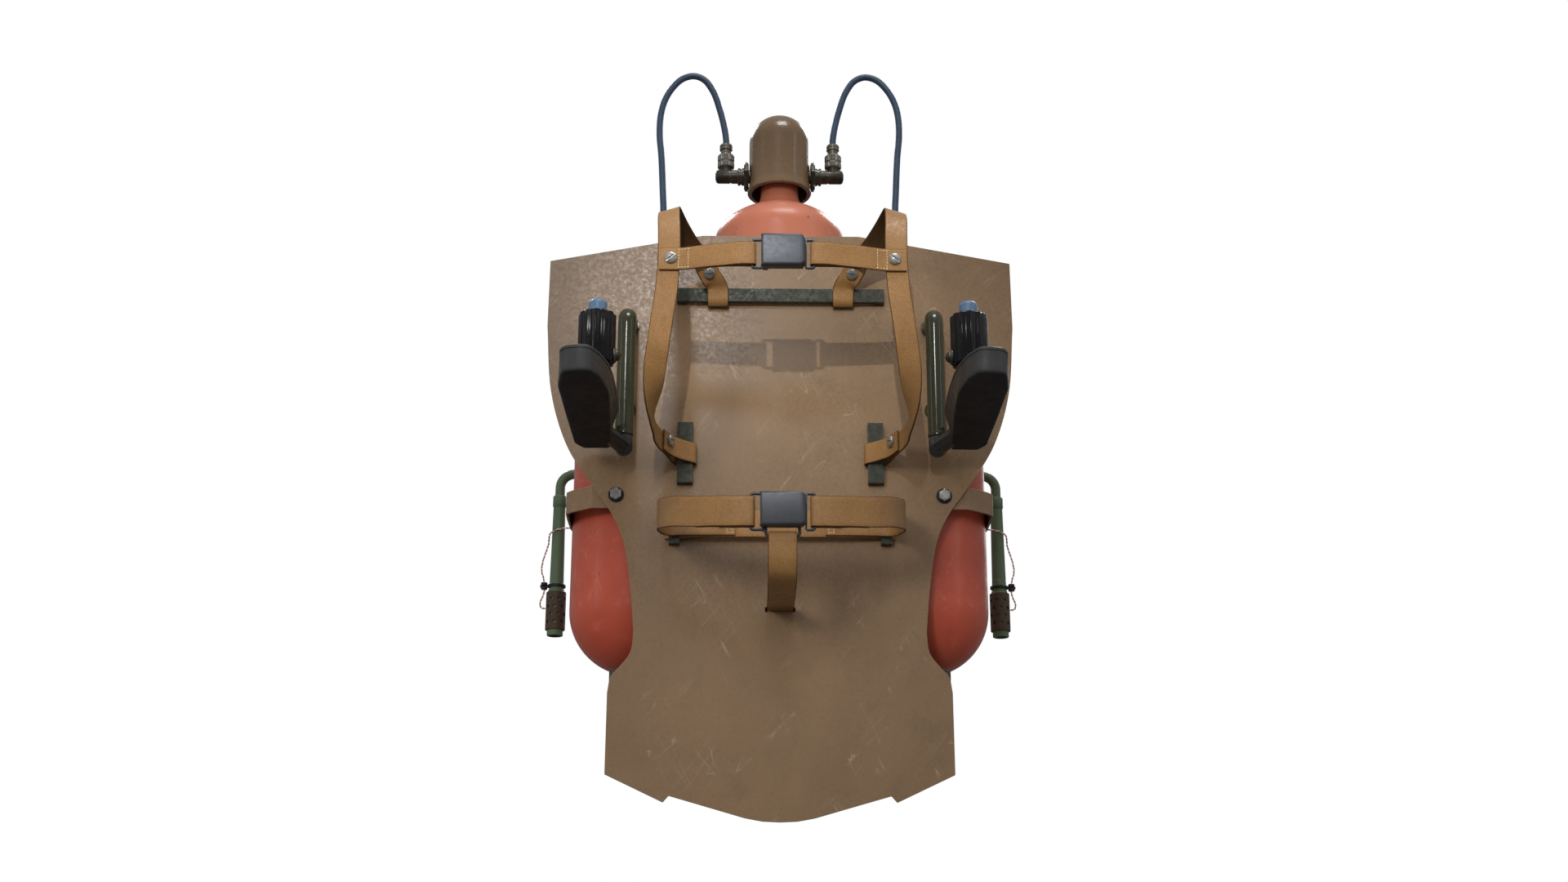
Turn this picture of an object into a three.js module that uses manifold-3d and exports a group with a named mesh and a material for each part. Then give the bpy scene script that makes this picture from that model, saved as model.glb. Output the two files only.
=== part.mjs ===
// Back-worn breathing apparatus: a load plate that carries three gas cylinders behind it, and in front of
// it a leather harness with two lift-latch buckles and two armrests with fluted control grips.
//
// Millimetres, +Z up. The wearer's side faces -Y and the cylinders stand at +Y. Heights are drawn from the
// load plate's lowest point, and the whole is then lowered, so that the origin is the middle of the plate's
// wearer face. Paired pieces are drawn on the left (-X), and each right one is the mirror image.

import * as THREE from 'three';
import { mergeVertices } from 'three/addons/utils/BufferGeometryUtils.js';
import Module from 'manifold-3d';

// ---------- driving dimensions ----------
const ORIGIN = { y: 85, z: 174 };     // exported origin: the middle of the shelf's flat underside
const FIT = 0.4;                      // gap left between pieces that touch

const PLATE = { thick: 3, top: 734, halfTop: 99, halfWidth: 290, shoulder: 698 };

const SIDE = { x: 180.5, y: 98, r: 79.5, wall: 5, baseZ: 268.5, shoulderZ: 556, domeH: 56, neckR: 22,
    topZ: 628 };
const MAIN = { x: 0, y: 104, r: 86, wall: 5, baseZ: 275, shoulderZ: 767, domeH: 52, neckR: 25, topZ: 856 };

const GUARD = { r: 40.5, wall: 3.5, bottomZ: 841, domeZ: 914 };
const PORT_Z = 867;                   // height of the two outlets of the main valve
const HOSE_X = 72;                    // distance of each hose fitting from the centre
const HOSE_R = 4.4;

const BAND = { z: 389.5, height: 28, thick: 3 };
const BOLT = { x: 199, z: 391, r: 4 };

const PIPE = { x: 287, y: 188, bendR: 6.3, elbowZ: 474, bendRadius: 19 };

const BAR_FRONT = -12;                // faces of the bars that the straps run behind
const BAR_BACK = -5.4;

const LEATHER = 2.2;                  // strap thickness
const SHOULDER_W = 26;
const CHEST = { z: 611, y: -224, width: 28 };
const WAIST = { z: 314.5, y: -198, width: 35, backZ: 352.5 };
const CROTCH = { width: 32, slotZ: 249.5 };
const FRAME_X = 35;                   // distance of a buckle's strap bar from its centre
const FRAME_WIRE_R = 1.8;

const ARM = { x: 188, y: -45, r: 11, topZ: 609, endZ: 452, neckZ: 437 };
const PAD = { outerX: 245.7, innerX: 188.4, rearY: -48, frontY: -320.5, z: 434, thick: 31 };
const GRIP = { x: 206.7, y: -240, r: 21, bottomZ: 471, topZ: 530, pivotZ: 481 };

// ---------- materials ----------
const finish = (color, roughness, metalness) => new THREE.MeshStandardMaterial({ color, roughness,
    metalness });
const paint = finish(0x7d674f, 0.5, 0.2);
const redPaint = finish(0xb0503f, 0.4, 0.1);
const guardPaint = finish(0x6e5a41, 0.25, 0.2);
const darkSteel = finish(0x3a3d36, 0.45, 0.6);
const fittingMetal = finish(0x4a463e, 0.4, 0.8);
const plainSteel = finish(0x9a9a96, 0.3, 0.9);
const hoseRubber = finish(0x3d5a80, 0.55, 0);
const pipePaint = finish(0x4a5c42, 0.5, 0.2);
const ventSteel = finish(0x3b2b22, 0.6, 0.5);
const leather = finish(0x9a6b3c, 0.75, 0);
const buckleMetal = finish(0x55585e, 0.3, 0.7);
const olive = finish(0x33341f, 0.2, 0.2);
const rubber = finish(0x1d1d1f, 0.6, 0);
const gripPlastic = finish(0x0c0d0e, 0.15, 0);
const buttonPlastic = finish(0x4b76a8, 0.4, 0);
const cableSheath = finish(0x8a4f52, 0.5, 0);

// ---------- solids ----------
const wasm = await Module();
wasm.setup();
const v2 = (x, y) => new THREE.Vector2(x, y);
const v3 = (x, y, z) => new THREE.Vector3(x, y, z);

// A closed geometry as a manifold-3d solid.
function solid(geometry) {
  const g = geometry.clone();
  g.deleteAttribute('normal');
  g.deleteAttribute('uv');
  const merged = mergeVertices(g, 1e-4);
  return new wasm.Manifold(new wasm.Mesh({
    numProp: 3,
    vertProperties: merged.attributes.position.array,
    triVerts: new Uint32Array(merged.index.array),
  }));
}

// A manifold-3d solid back as a geometry.
function geometryOf(manifold) {
  const mesh = manifold.getMesh();
  return new THREE.BufferGeometry()
    .setAttribute('position', new THREE.BufferAttribute(Float32Array.from(mesh.vertProperties), 3))
    .setIndex(new THREE.BufferAttribute(Uint32Array.from(mesh.triVerts), 1));
}

const join = (...geometries) => geometryOf(geometries.map(solid).reduce((a, b) => a.add(b)));
const cut = (base, ...tools) => geometryOf(tools.map(solid).reduce((a, b) => a.subtract(b), solid(base)));

const box = (x0, x1, y0, y1, z0, z1) =>
  new THREE.BoxGeometry(x1 - x0, y1 - y0, z1 - z0).translate((x0 + x1) / 2, (y0 + y1) / 2, (z0 + z1) / 2);

// A cylinder, or a prism with few sides, between two points.
function rod(from, to, radius, sides = 16, endRadius = radius) {
  const axis = to.clone().sub(from);
  const turn = new THREE.Quaternion().setFromUnitVectors(v3(0, 1, 0), axis.clone().normalize());
  const middle = from.clone().add(to).multiplyScalar(0.5);
  return new THREE.CylinderGeometry(endRadius, radius, axis.length(), sides)
    .applyQuaternion(turn).translate(middle.x, middle.y, middle.z);
}

// A solid of revolution about a vertical axis through (x, y); the profile is [radius, z] pairs from the
// lowest point to the highest, starting and ending on the axis, or closed on itself.
const turned = (profile, x = 0, y = 0, sides = 24) =>
  new THREE.LatheGeometry(profile.map(([r, z]) => v2(r, z)), sides).rotateX(Math.PI / 2).translate(x, y, 0);

// Points of an arc of an ellipse, from one angle to another, in degrees.
function arc(cx, cy, rx, ry, from, to, steps) {
  return Array.from({ length: steps + 1 }, (_, i) => {
    const a = THREE.MathUtils.degToRad(from + (to - from) * i / steps);
    return [cx + rx * Math.cos(a), cy + ry * Math.sin(a)];
  });
}

// A round hole for a drawing, without the doubled point where the circle closes.
const roundHole = (x, y, r, sides = 14) => new THREE.Path(arc(x, y, r, r, 360, 360 / sides,
    sides - 1).map(([a, b]) => v2(a, b)));

// The corners of a polyline rounded with a given radius.
function rounded(points, radius, steps = 5) {
  const out = [points[0]];
  for (let i = 1; i < points.length - 1; i++) {
    const back = points[i - 1].clone().sub(points[i]).normalize();
    const ahead = points[i + 1].clone().sub(points[i]).normalize();
    const half = back.angleTo(ahead) / 2;
    const reach = radius / Math.tan(half);
    const centre = points[i].clone().add(back.clone().add(ahead).normalize().multiplyScalar(radius / Math.sin(half)));
    const start = points[i].clone().addScaledVector(back, reach).sub(centre);
    const end = points[i].clone().addScaledVector(ahead, reach).sub(centre);
    const axis = start.clone().cross(end).normalize();
    const angle = start.angleTo(end);
    for (let k = 0; k <= steps; k++) out.push(start.clone().applyAxisAngle(axis,
        angle * k / steps).add(centre));
  }
  out.push(points[points.length - 1]);
  return out;
}

// Closed mesh through rings of equal length; each ring runs the same way round its path.
function loft(rings) {
  const n = rings[0].length;
  const position = rings.flat().flatMap((p) => [p.x, p.y, p.z]);
  const index = [];
  for (let r = 0; r < rings.length - 1; r++) {
    for (let i = 0; i < n; i++) {
      const a = r * n + i;
      const b = r * n + (i + 1) % n;
      index.push(a, b, b + n, a, b + n, a + n);
    }
  }
  for (let i = 1; i < n - 1; i++) {
    const last = (rings.length - 1) * n;
    index.push(0, i + 1, i, last, last + i, last + i + 1);
  }
  return new THREE.BufferGeometry()
    .setAttribute('position', new THREE.BufferAttribute(new Float32Array(position), 3)).setIndex(index);
}

// A round bar along a path; its ring planes halve each corner.
function tube(path, radius, sides = 10) {
  const tangents = path.map((p, i) =>
    path[Math.min(i + 1, path.length - 1)].clone().sub(path[Math.max(i - 1, 0)]).normalize());
  let side = v3(0, 0, 1).cross(tangents[0]);
  if (side.length() < 0.1) side = v3(1, 0, 0);
  return loft(path.map((p, i) => {
    side = side.sub(tangents[i].clone().multiplyScalar(side.dot(tangents[i]))).normalize();
    const up = tangents[i].clone().cross(side);
    return Array.from({ length: sides }, (_, k) => {
      const a = 2 * Math.PI * k / sides;
      return p.clone().addScaledVector(side, radius * Math.cos(a)).addScaledVector(up,
          radius * Math.sin(a));
    });
  }));
}

// A strap along a path of [x, y, z, side vector] control points: a flat band that twists with its sides.
function ribbon(controls, width, steps, thickness = LEATHER) {
  const centre = new THREE.CatmullRomCurve3(controls.map(([x, y, z]) => v3(x, y, z)));
  const facing = new THREE.CatmullRomCurve3(controls.map(([, , , s]) => v3(...(s ?? [0, 0, 1]))));
  return loft(Array.from({ length: steps + 1 }, (_, i) => {
    const tangent = centre.getTangent(i / steps);
    const side = facing.getPoint(i / steps);
    side.addScaledVector(tangent, -side.dot(tangent)).normalize().multiplyScalar(width / 2);
    const normal = tangent.clone().cross(side).normalize().multiplyScalar(thickness / 2);
    const p = centre.getPoint(i / steps);
    return [[1, 1], [-1, 1], [-1, -1], [1, -1]].map(([s, n]) =>
      p.clone().addScaledVector(side, s).addScaledVector(normal, n));
  }));
}

// A band of even thickness whose path lies in the plane z = 0, raised by height.
function strip(path, thickness, height) {
  const left = [];
  const right = [];
  path.forEach((p, i) => {
    const t = path[Math.min(i + 1, path.length - 1)].clone().sub(path[Math.max(i - 1, 0)]).normalize();
    left.push(v2(p.x - t.y * thickness / 2, p.y + t.x * thickness / 2));
    right.push(v2(p.x + t.y * thickness / 2, p.y - t.x * thickness / 2));
  });
  const outline = new THREE.Shape([...left, ...right.reverse()]);
  return new THREE.ExtrudeGeometry(outline, { depth: height, bevelEnabled: false });
}

// A drawing in the xz plane, made solid from y0 to y1.
const upright = (shape, y0, y1, curveSegments = 5) =>
  new THREE.ExtrudeGeometry(shape, { depth: y1 - y0, bevelEnabled: false, curveSegments })
    .rotateX(Math.PI / 2).translate(0, y1, 0);

const hexagon = (from, to, acrossFlats) => rod(from, to, acrossFlats / Math.sqrt(3), 6);

// ---------- assembly helpers ----------
const object = new THREE.Group();
const assembly = new THREE.Group();
assembly.position.set(0, -ORIGIN.y, -ORIGIN.z);
object.add(assembly);

// A mesh in its group; its geometry is drawn about the group's own origin.
function place(name, geometry, material, group = assembly) {
  const mesh = new THREE.Mesh(geometry, material);
  mesh.name = name;
  group.add(mesh);
}

// The same piece on both sides: as drawn on the left, mirrored on the right. Its origin is at x, y, z.
function placePair(name, geometry, material, [x, y, z] = [0, 0, 0]) {
  for (const side of ['left', 'right']) {
    const group = new THREE.Group();
    const sign = side === 'left' ? 1 : -1;
    group.position.set(sign * x, y, z);
    group.scale.x = sign;
    assembly.add(group);
    place(`${side}_${name}`, geometry, material, group);
  }
}

// ---------- load plate and its fixed parts ----------
function loadPlate() {
  // Right half of the outline, from the top edge down to the lowest point.
  const side = [v2(290.5, 610), v2(283, 525), v2(262, 456), v2(228, 401.5), v2(203, 366), v2(188, 330),
    v2(179, 275), v2(174, 222)];
  const hip = [v2(177, 198), v2(190, 180), v2(199.5, 169), v2(203, 150)];
  const foot = [v2(203.3, 54.5), v2(135.5, 22.5), v2(128.7, 30), v2(40, 4.5), v2(20, 0.9)];
  const half = [v2(PLATE.halfTop, PLATE.top), v2(PLATE.halfWidth, PLATE.shoulder),
    ...new THREE.SplineCurve(side).getPoints(18), ...new THREE.SplineCurve([side.at(-1),
    ...hip]).getPoints(8).slice(1),
    ...foot];
  const mirrored = half.map((p) => v2(-p.x, p.y)).reverse();
  const outline = new THREE.Shape([...half, v2(0, 0), ...mirrored].reverse());
  for (const x of [-BOLT.x, BOLT.x]) {
    outline.holes.push(roundHole(x, BOLT.z, BOLT.r + FIT));
  }
  const slot = [v2(-18, CROTCH.slotZ - 3), v2(-18, CROTCH.slotZ + 3), v2(18, CROTCH.slotZ + 3),
      v2(18, CROTCH.slotZ - 3)];
  outline.holes.push(new THREE.Path(slot));
  return upright(outline, 0, PLATE.thick, 3);
}

// A flat bar that stands off the plate on a leg at each end. The path runs along the bar.
function strapBar(length, height, legWidth) {
  const front = BAR_FRONT;
  const back = BAR_BACK;
  const outline = new THREE.Shape([v2(-length / 2, -FIT), v2(-length / 2, front), v2(length / 2, front),
    v2(length / 2, -FIT), v2(length / 2 - legWidth, -FIT), v2(length / 2 - legWidth, back),
    v2(legWidth - length / 2, back), v2(legWidth - length / 2, -FIT)]);
  return new THREE.ExtrudeGeometry(outline, { depth: height, bevelEnabled: false }).translate(0, 0,
      -height / 2);
}

const standingBar = (length, width, x, z, legWidth) =>
  strapBar(length, width, legWidth).rotateY(-Math.PI / 2).translate(x, 0, z);

// Rack behind the plate: a shelf with a cup for each cylinder base, two rails and a hoop for the main one.
function cylinderCradle() {
  const back = PLATE.thick + FIT;
  const half = 201.5;
  const shelfTop = 178;
  const hoopZ = 560;
  const hoopHeight = 26;
  const hoopR = MAIN.r + FIT + 3;
  const parts = [
    box(-half, half, back, back + 4, 118, shelfTop),
    box(-half, half, back + 1, 140, shelfTop - 4, shelfTop),
    turned([[0, hoopZ], [hoopR, hoopZ], [hoopR, hoopZ + hoopHeight], [0, hoopZ + hoopHeight]], MAIN.x,
    MAIN.y, 24),
  ];
  for (const x of [-62, 62]) {
    parts.push(box(x - 11, x + 11, back, back + 4, 150, hoopZ + hoopHeight));
    parts.push(box(x - 2, x + 2, back + 2, 50, hoopZ, hoopZ + hoopHeight));
    parts.push(box(x - 2, x + 2, back + 2, 30, shelfTop - 2, shelfTop + 40));
  }
  const beds = [];
  for (const c of [MAIN, { ...SIDE, x: -SIDE.x }, SIDE]) {
    parts.push(rod(v3(c.x, c.y, shelfTop - 2), v3(c.x, c.y, c.baseZ - c.r + 4), 19, 18));
    beds.push(turned([...arc(0, c.baseZ, c.r + FIT, c.r + FIT, -90, 0, 5), [c.r + FIT, 700], [0, 700]],
        c.x, c.y, 18));
  }
  return cut(join(...parts), ...beds);
}

// Strap of sheet metal round a side cylinder, with a bolted tab on the outside and a folded one inside.
function clampBand() {
  const r = SIDE.r + FIT + BAND.thick / 2;
  const y = PLATE.thick + FIT + BAND.thick / 2;
  const path = [v2(-184, y), v2(-214, y), v2(-228, y), v2(-254, 25), v2(-261, 34), v2(-SIDE.x - r, 60),
    ...arc(-SIDE.x, SIDE.y, r, r, 180, 0, 16).map(([a, b]) => v2(a, b)),
    v2(-SIDE.x + r, 60), v2(-SIDE.x + r, 24), v2(-102, 11), v2(-108, y), v2(-130, y)];
  const band = strip(path, BAND.thick, BAND.height).translate(0, 0, BAND.z - BAND.height / 2);
  return cut(band, rod(v3(-BOLT.x, -5, BOLT.z), v3(-BOLT.x, 20, BOLT.z), BOLT.r + FIT, 14));
}

// Hexagon bolt with its washer in front of the plate and its nut behind the clamp tab.
function clampBolt() {
  const at = (y) => v3(-BOLT.x, y, BOLT.z);
  const nutY = PLATE.thick + BAND.thick + 2 * FIT + 0.3;
  return join(rod(at(-2), at(-FIT), 9.4, 16), hexagon(at(-7.4), at(-1.9), 13),
      rod(at(-2), at(nutY + 8), BOLT.r, 12),
    hexagon(at(nutY), at(nutY + 6), 13));
}

// ---------- cylinders and valves ----------
function cylinder(c) {
  const inner = c.r - c.wall;
  const bore = 11;
  const crown = c.shoulderZ + c.domeH;
  const outside = [
    ...arc(0, c.baseZ, c.r, c.r, -90, 0, 5),
    ...arc(0, c.shoulderZ, c.r, c.domeH, 0, 62, 4),
    [c.neckR + 7, crown + 1], [c.neckR + 2.5, crown + 10], [c.neckR, crown + 19], [c.neckR, c.topZ],
  ];
  const inside = [
    [bore, c.topZ], [bore, crown - 7],
    ...arc(0, c.shoulderZ, inner, c.domeH - 8, 66, 0, 3), ...arc(0, c.baseZ, inner, inner, 0, -90, 3),
  ];
  return turned([...outside, ...inside], c.x, c.y, 18);
}

const sideCylinder = { ...SIDE, x: -SIDE.x };

// Domed guard over the main valve, open at the bottom, with a hole on each side for the outlets.
function valveGuard() {
  const inner = GUARD.r - GUARD.wall;
  const shell = turned([
    [inner, GUARD.bottomZ], [GUARD.r - 1.5, GUARD.bottomZ], [GUARD.r, GUARD.bottomZ + 2],
    ...arc(0, GUARD.domeZ, GUARD.r, GUARD.r, 0, 90, 5), ...arc(0, GUARD.domeZ, inner, inner, 90, 0, 4),
    [inner, GUARD.bottomZ],
  ], MAIN.x, MAIN.y, 20);
  return cut(shell, rod(v3(-60, MAIN.y, PORT_Z), v3(60, MAIN.y, PORT_Z), 10.5, 12));
}

// Valve of the main cylinder: screwed into the neck, with a seat block and two threaded outlets.
function mainValve() {
  const z = MAIN.topZ + FIT;
  const block = turned([[0, 826], [10.4, 826], [10.4, z], [24, z], [26, z + 3], [26, 884], [18, 892],
      [12, 892], [12, 906],
    [0, 906]], MAIN.x, MAIN.y, 18);
  return cut(block, rod(v3(-40, MAIN.y, PORT_Z), v3(40, MAIN.y, PORT_Z), 5.4, 10));
}

// Elbow from the main valve to a hose: stem, hexagon, flange, barrel and a threaded riser with its nut.
function hoseElbow() {
  const along = (x) => v3(-x, MAIN.y, PORT_Z);
  const up = (z) => v3(-HOSE_X, MAIN.y, z);
  const body = join(rod(along(28), along(60), 9, 14), hexagon(along(41.3), along(48), 34),
      rod(along(47), along(56), 11.8, 16),
    rod(along(55), along(85), 9.2, 16), rod(up(PORT_Z), up(884), 8.9, 16), rod(up(879), up(898), 11.2, 16),
    rod(up(897), up(905), 6.5, 12));
  return cut(body, rod(up(PORT_Z - 1), up(910), 3, 8), rod(along(20), along(HOSE_X + 2), 3, 8));
}

// Hose with a crimped ferrule at its upper fitting and a swivel nut on the side valve.
function hose() {
  const y = MAIN.y;
  const course = [[-72, 906], [-72, 921], [-75, 942], [-81, 967], [-90, 994], [-102.5, 1012.5],
      [-116.5, 1018.5],
    [-132.5, 1014], [-147, 998.5], [-156.7, 979], [-161.3, 957], [-162, 929], [-159, 897], [-156, 843],
    [-154.7, 816],
    [-156, 765], [-165, 720], [-175, 692], [-180.5, 672.5]];
  const swing = course.length - 4;    // from here on the hose also comes forward to the side valve
  const path = new THREE.CatmullRomCurve3(course.map(([x, z], i) =>
    v3(x, i < swing ? y : y + (SIDE.y - y) * (i - swing) / 3, z)));
  const lower = v3(-SIDE.x, SIDE.y, 0);
  return join(tube(path.getPoints(30), HOSE_R, 7), rod(v3(-72, y, 905.4), v3(-72, y, 915), 8.6, 12),
    rod(lower.clone().setZ(670.5), lower.clone().setZ(684), 9, 6));
}

const VALVE_Z = 648;                  // height of a side valve's outlet and spindle

// Side cylinder valve: body, hose inlet on top, outlet to the rear and a spindle for the handwheel.
function sideValve() {
  const at = (dx, dy, z) => v3(-SIDE.x + dx, SIDE.y + dy, z);
  const body = turned([[0, 600], [10.4, 600], [10.4, SIDE.topZ + FIT], [17, SIDE.topZ + FIT], [17, 662],
      [9, 664], [9, 670],
    [0, 670]], -SIDE.x, SIDE.y, 18);
  return join(body, rod(at(0, 0, VALVE_Z), at(0, 28, VALVE_Z), 10, 14),
      rod(at(0, 0, VALVE_Z), at(-27, 0, VALVE_Z), 9, 14),
    rod(at(-20, 0, VALVE_Z), at(-47, 0, VALVE_Z), 4.6, 10), rod(at(-45.4, 0, VALVE_Z),
    at(-48.4, 0, VALVE_Z), 7.6, 6));
}

// Lobed handwheel on the side valve's spindle.
function handwheel() {
  const lobes = 8;
  const outline = new THREE.Shape(Array.from({ length: 32 }, (_, i) => {
    const a = 2 * Math.PI * i / 32;
    const r = 22.5 + 1.8 * Math.cos(lobes * a);
    return v2(r * Math.cos(a), r * Math.sin(a));
  }));
  outline.holes.push(roundHole(0, 0, 6.8, 12));
  return new THREE.ExtrudeGeometry(outline, { depth: 13, bevelThickness: 1.5, bevelSize: 1.5,
      bevelSegments: 1 })
    .rotateY(-Math.PI / 2);
}

// ---------- outlet pipes ----------
function outletPipe() {
  const start = v3(-SIDE.x, SIDE.y + 28.4, VALVE_Z);
  const route = rounded([start, v3(-SIDE.x, PIPE.y, VALVE_Z), v3(-SIDE.x, PIPE.y, PIPE.elbowZ),
    v3(-PIPE.x, PIPE.y, PIPE.elbowZ), v3(-PIPE.x, PIPE.y, 436)], PIPE.bendRadius, 4);
  const barrel = turned([[0, 428], [0, 443.5], [8.3, 443.5], [8.3, 429], [7.8, 428], [9.1, 327],
      [9.1, 318], [10.3, 317],
    [10.3, 257], [8.4, 257], [8.4, 300], [0, 300], [0, 428]].reverse(), -PIPE.x, PIPE.y, 16);
  const nut = rod(start, start.clone().setY(start.y + 12), 12, 6);
  return join(tube(route, PIPE.bendR, 8), barrel, nut);
}

// Perforated sleeve round the end of an outlet pipe.
function ventSleeve() {
  const height = 49.5;
  const shell = turned([[10.8, 0], [12.8, 0], [12.8, height], [10.8, height], [10.8, 0]], 0, 0, 16);
  const drills = [];
  for (let row = 0; row < 4; row++) {
    for (let k = 0; k < 4; k++) {
      const a = (k + (row % 2) / 2) * Math.PI / 4;
      const reach = v3(20 * Math.cos(a), 20 * Math.sin(a), 0);
      const middle = v3(0, 0, 9 + row * 10);
      drills.push(rod(middle.clone().sub(reach), middle.clone().add(reach), 2.1, 4));
    }
  }
  return cut(shell, ...drills);
}

// Thin twisted cable with its clip on the outlet pipe.
function cable() {
  const points = [[-237, 167, 396], [-262, 174, 397], [-286, 177, 396], [-297, 181, 391],
      [-299.5, 187, 378], [-306, 188, 355],
    [-307, 188, 343], [-303.5, 188, 330], [-303, 188, 314], [-307.5, 188, 299], [-305, 188, 293.5],
    [-300.2, 188, 293]];
  const path = new THREE.CatmullRomCurve3(points.map((p) => v3(...p)));
  const ring = turned([[9.6, 320.5], [11.6, 320.5], [11.6, 324], [9.6, 324], [9.6, 320.5]], -PIPE.x,
      PIPE.y, 14);
  return join(tube(path.getPoints(24), 1.1, 4), ring, box(-306.5, -299, 185, 191, 317.5, 327),
      box(-300, -296.8, 186.5, 189.5, 320.8, 323.6));
}

// ---------- harness ----------
// Slotted binding screw through two layers: head towards the given direction, its post flange behind.
function bindingScrew(centre, towards, grip = 8.6) {
  const head = turned([[0, grip / 2], [7, grip / 2], [7, grip / 2 + 1.6], [4.5, grip / 2 + 3.4],
      [0, grip / 2 + 3.9]], 0, 0, 10);
  const post = turned([[0, -grip / 2 - 1.2], [5.5, -grip / 2 - 1.2], [5.5, -grip / 2], [2.3, -grip / 2],
      [2.3, grip / 2 + 0.5],
    [0, grip / 2 + 0.5]], 0, 0, 8);
  const slotted = cut(join(head, post), box(-9, 9, -0.7, 0.7, grip / 2 + 2, grip / 2 + 6));
  const turn = new THREE.Quaternion().setFromUnitVectors(v3(0, 0, 1), towards.clone().normalize());
  return slotted.applyQuaternion(turn).translate(centre.x, centre.y, centre.z);
}

const screwHole = (centre, towards) => {
  const reach = towards.clone().normalize().multiplyScalar(6);
  return rod(centre.clone().sub(reach), centre.clone().add(reach), 2.9, 8);
};

const SCREWS = {
  shoulder: { at: v3(-89.9, -31, 670.4), towards: v3(0.29, -0.77, -0.545) },
  chest: { at: v3(-128, -206.6, CHEST.z + 0.5), towards: v3(0, -1, 0) },
  side: { at: v3(-136.1, -41.3, 446.5), towards: v3(0.94, -0.34, 0) },
  waist: { at: v3(-71, -15.6, WAIST.backZ), towards: v3(0, -1, 0) },
};

// From a loop round the top bar, over the shoulder, down the front, and back under the arm to a side bar.
function shoulderStrap() {
  const level = [1, 0, 0];
  const upper = [0.86, 0, 0.51];
  const leaning = [0.97, 0, 0.2];
  const path = [
    [-94.4, -35.7, 677, upper], [-90.3, -30, 671.1, upper], [-86.4, -24.1, 665.9, upper],
    [-82.4, -16, 664.6, leaning],
    [-79.8, -8.4, 662.6, level], [-78.4, -3.3, 659, level], [-78, -2.7, 649, level],
    [-78, -3.3, 640, level],
    [-78, -8.7, 635.2, level], [-78, -14, 639.4, level], [-78, -14.5, 649, level], [-78.8, -16, 656, level],
    [-81.6, -20.9, 660.4, leaning], [-85.4, -26.7, 663.9, upper], [-89.5, -32, 669.7, upper],
    [-96, -41, 679, upper],
    [-111, -62, 690, upper], [-124, -98, 698.5, [0.9, 0, 0.4]], [-131, -133, 700.5, [0.93, 0, 0.37]],
    [-133, -160, 694.5, [0.95, 0, 0.3]], [-132.5, -184, 675, [0.98, 0, 0.15]], [-131, -198, 648, level],
    [-130.5, -204.3, 612, level], [-132.5, -206, 575, level], [-137, -205, 540, level],
    [-141.5, -200, 506, level],
    [-145, -190, 480, [0.95, 0.3, 0]], [-147, -172, 459, [0.7, 0.5, 0.5]],
    [-148, -148, 447, [0.3, 0.4, 0.87]],
    [-149, -120, 442.5], [-148.5, -90, 442], [-143.8, -62, 442], [-139.2, -46, 442], [-135.2, -30, 441.5],
    [-131, -13.5, 441], [-127.6, -4.8, 440.5], [-122, -2.6, 440], [-113, -2.6, 440], [-106.5, -3.3, 440],
    [-103.5, -6.2, 440], [-102.9, -9.6, 440], [-104.6, -13.2, 440.5], [-110, -16.5, 441],
    [-117, -21.3, 441.5],
    [-124, -27.8, 442], [-129.5, -33.8, 442.5], [-134.2, -41.8, 443], [-139.8, -57.5, 443.5],
  ];
  return cut(ribbon(path, SHOULDER_W, 62), screwHole(SCREWS.shoulder.at, SCREWS.shoulder.towards),
    screwHole(SCREWS.chest.at, SCREWS.chest.towards), screwHole(SCREWS.side.at, SCREWS.side.towards));
}

// The folded end of a strap round a buckle's bar: outer layer, turn, and the layer that comes back.
const turnRound = (y) => arc(-FRAME_X, y, 3.5, 3.5, -90, 90, 4);

function chestStrap() {
  const y = CHEST.y;
  const path = [[-141.5, y + 15.5], [-128, y + 15.2], [-117, y + 15], [-106, y + 12.2], [-88, y + 6.4],
      [-66, y + 1.2], [-52, y - 2.6],
    [-43, y - 3.5], ...turnRound(y), [-43, y + 3.5], [-53, y + 3.6], [-68, y + 4.5], [-88, y + 9.1]];
  const strap = strip(path.map(([a, b]) => v2(a, b)), LEATHER, CHEST.width).translate(0, 0,
      CHEST.z - CHEST.width / 2);
  return cut(strap, screwHole(SCREWS.chest.at, SCREWS.chest.towards));
}

function waistStrap() {
  const { y, z, backZ } = WAIST;
  const round = turnRound(y).map(([a, b]) => [a, b, z]);
  const path = [[-54, -17.2, backZ + 1], [-71, -17.2, backZ + 1], [-88, -17.2, backZ + 1],
      [-104, -16.6, backZ + 1],
    [-118, -16.4, backZ + 1], [-130, -18.4, backZ], [-138.5, -31, backZ - 2], [-142, -55, backZ - 6],
    [-143, -85, backZ - 12],
    [-141, -115, backZ - 18], [-134, -143, backZ - 24], [-120, -167, backZ - 29], [-98, -185, z + 3.5],
    [-75, -195, z + 1.5],
    [-57, -200.6, z], [-46, y - 3.5, z], ...round, [-46, y + 3.5, z], [-57, y + 3.9, z],
    [-74, -191.4, z + 1.5], [-94, -183, z + 3.3]];
  return cut(ribbon(path, WAIST.width, 46), screwHole(SCREWS.waist.at, SCREWS.waist.towards));
}

function backBelt() {
  const half = [[-138.5, -3], [-127, -2.8], [-117, -3.2], [-105, -7], [-92, -11.6], [-79, -13.8],
      [-60, -14]];
  const path = [...half, ...half.map(([x, y]) => [-x, y]).reverse()].map(([x, y]) => v2(x, y));
  const holes = [-1, 1].map((side) => screwHole(SCREWS.waist.at.clone().setX(side * SCREWS.waist.at.x),
      SCREWS.waist.towards));
  return cut(strip(path, LEATHER, WAIST.width).translate(0, 0, WAIST.backZ - 0.5 - WAIST.width / 2),
      ...holes);
}

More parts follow.
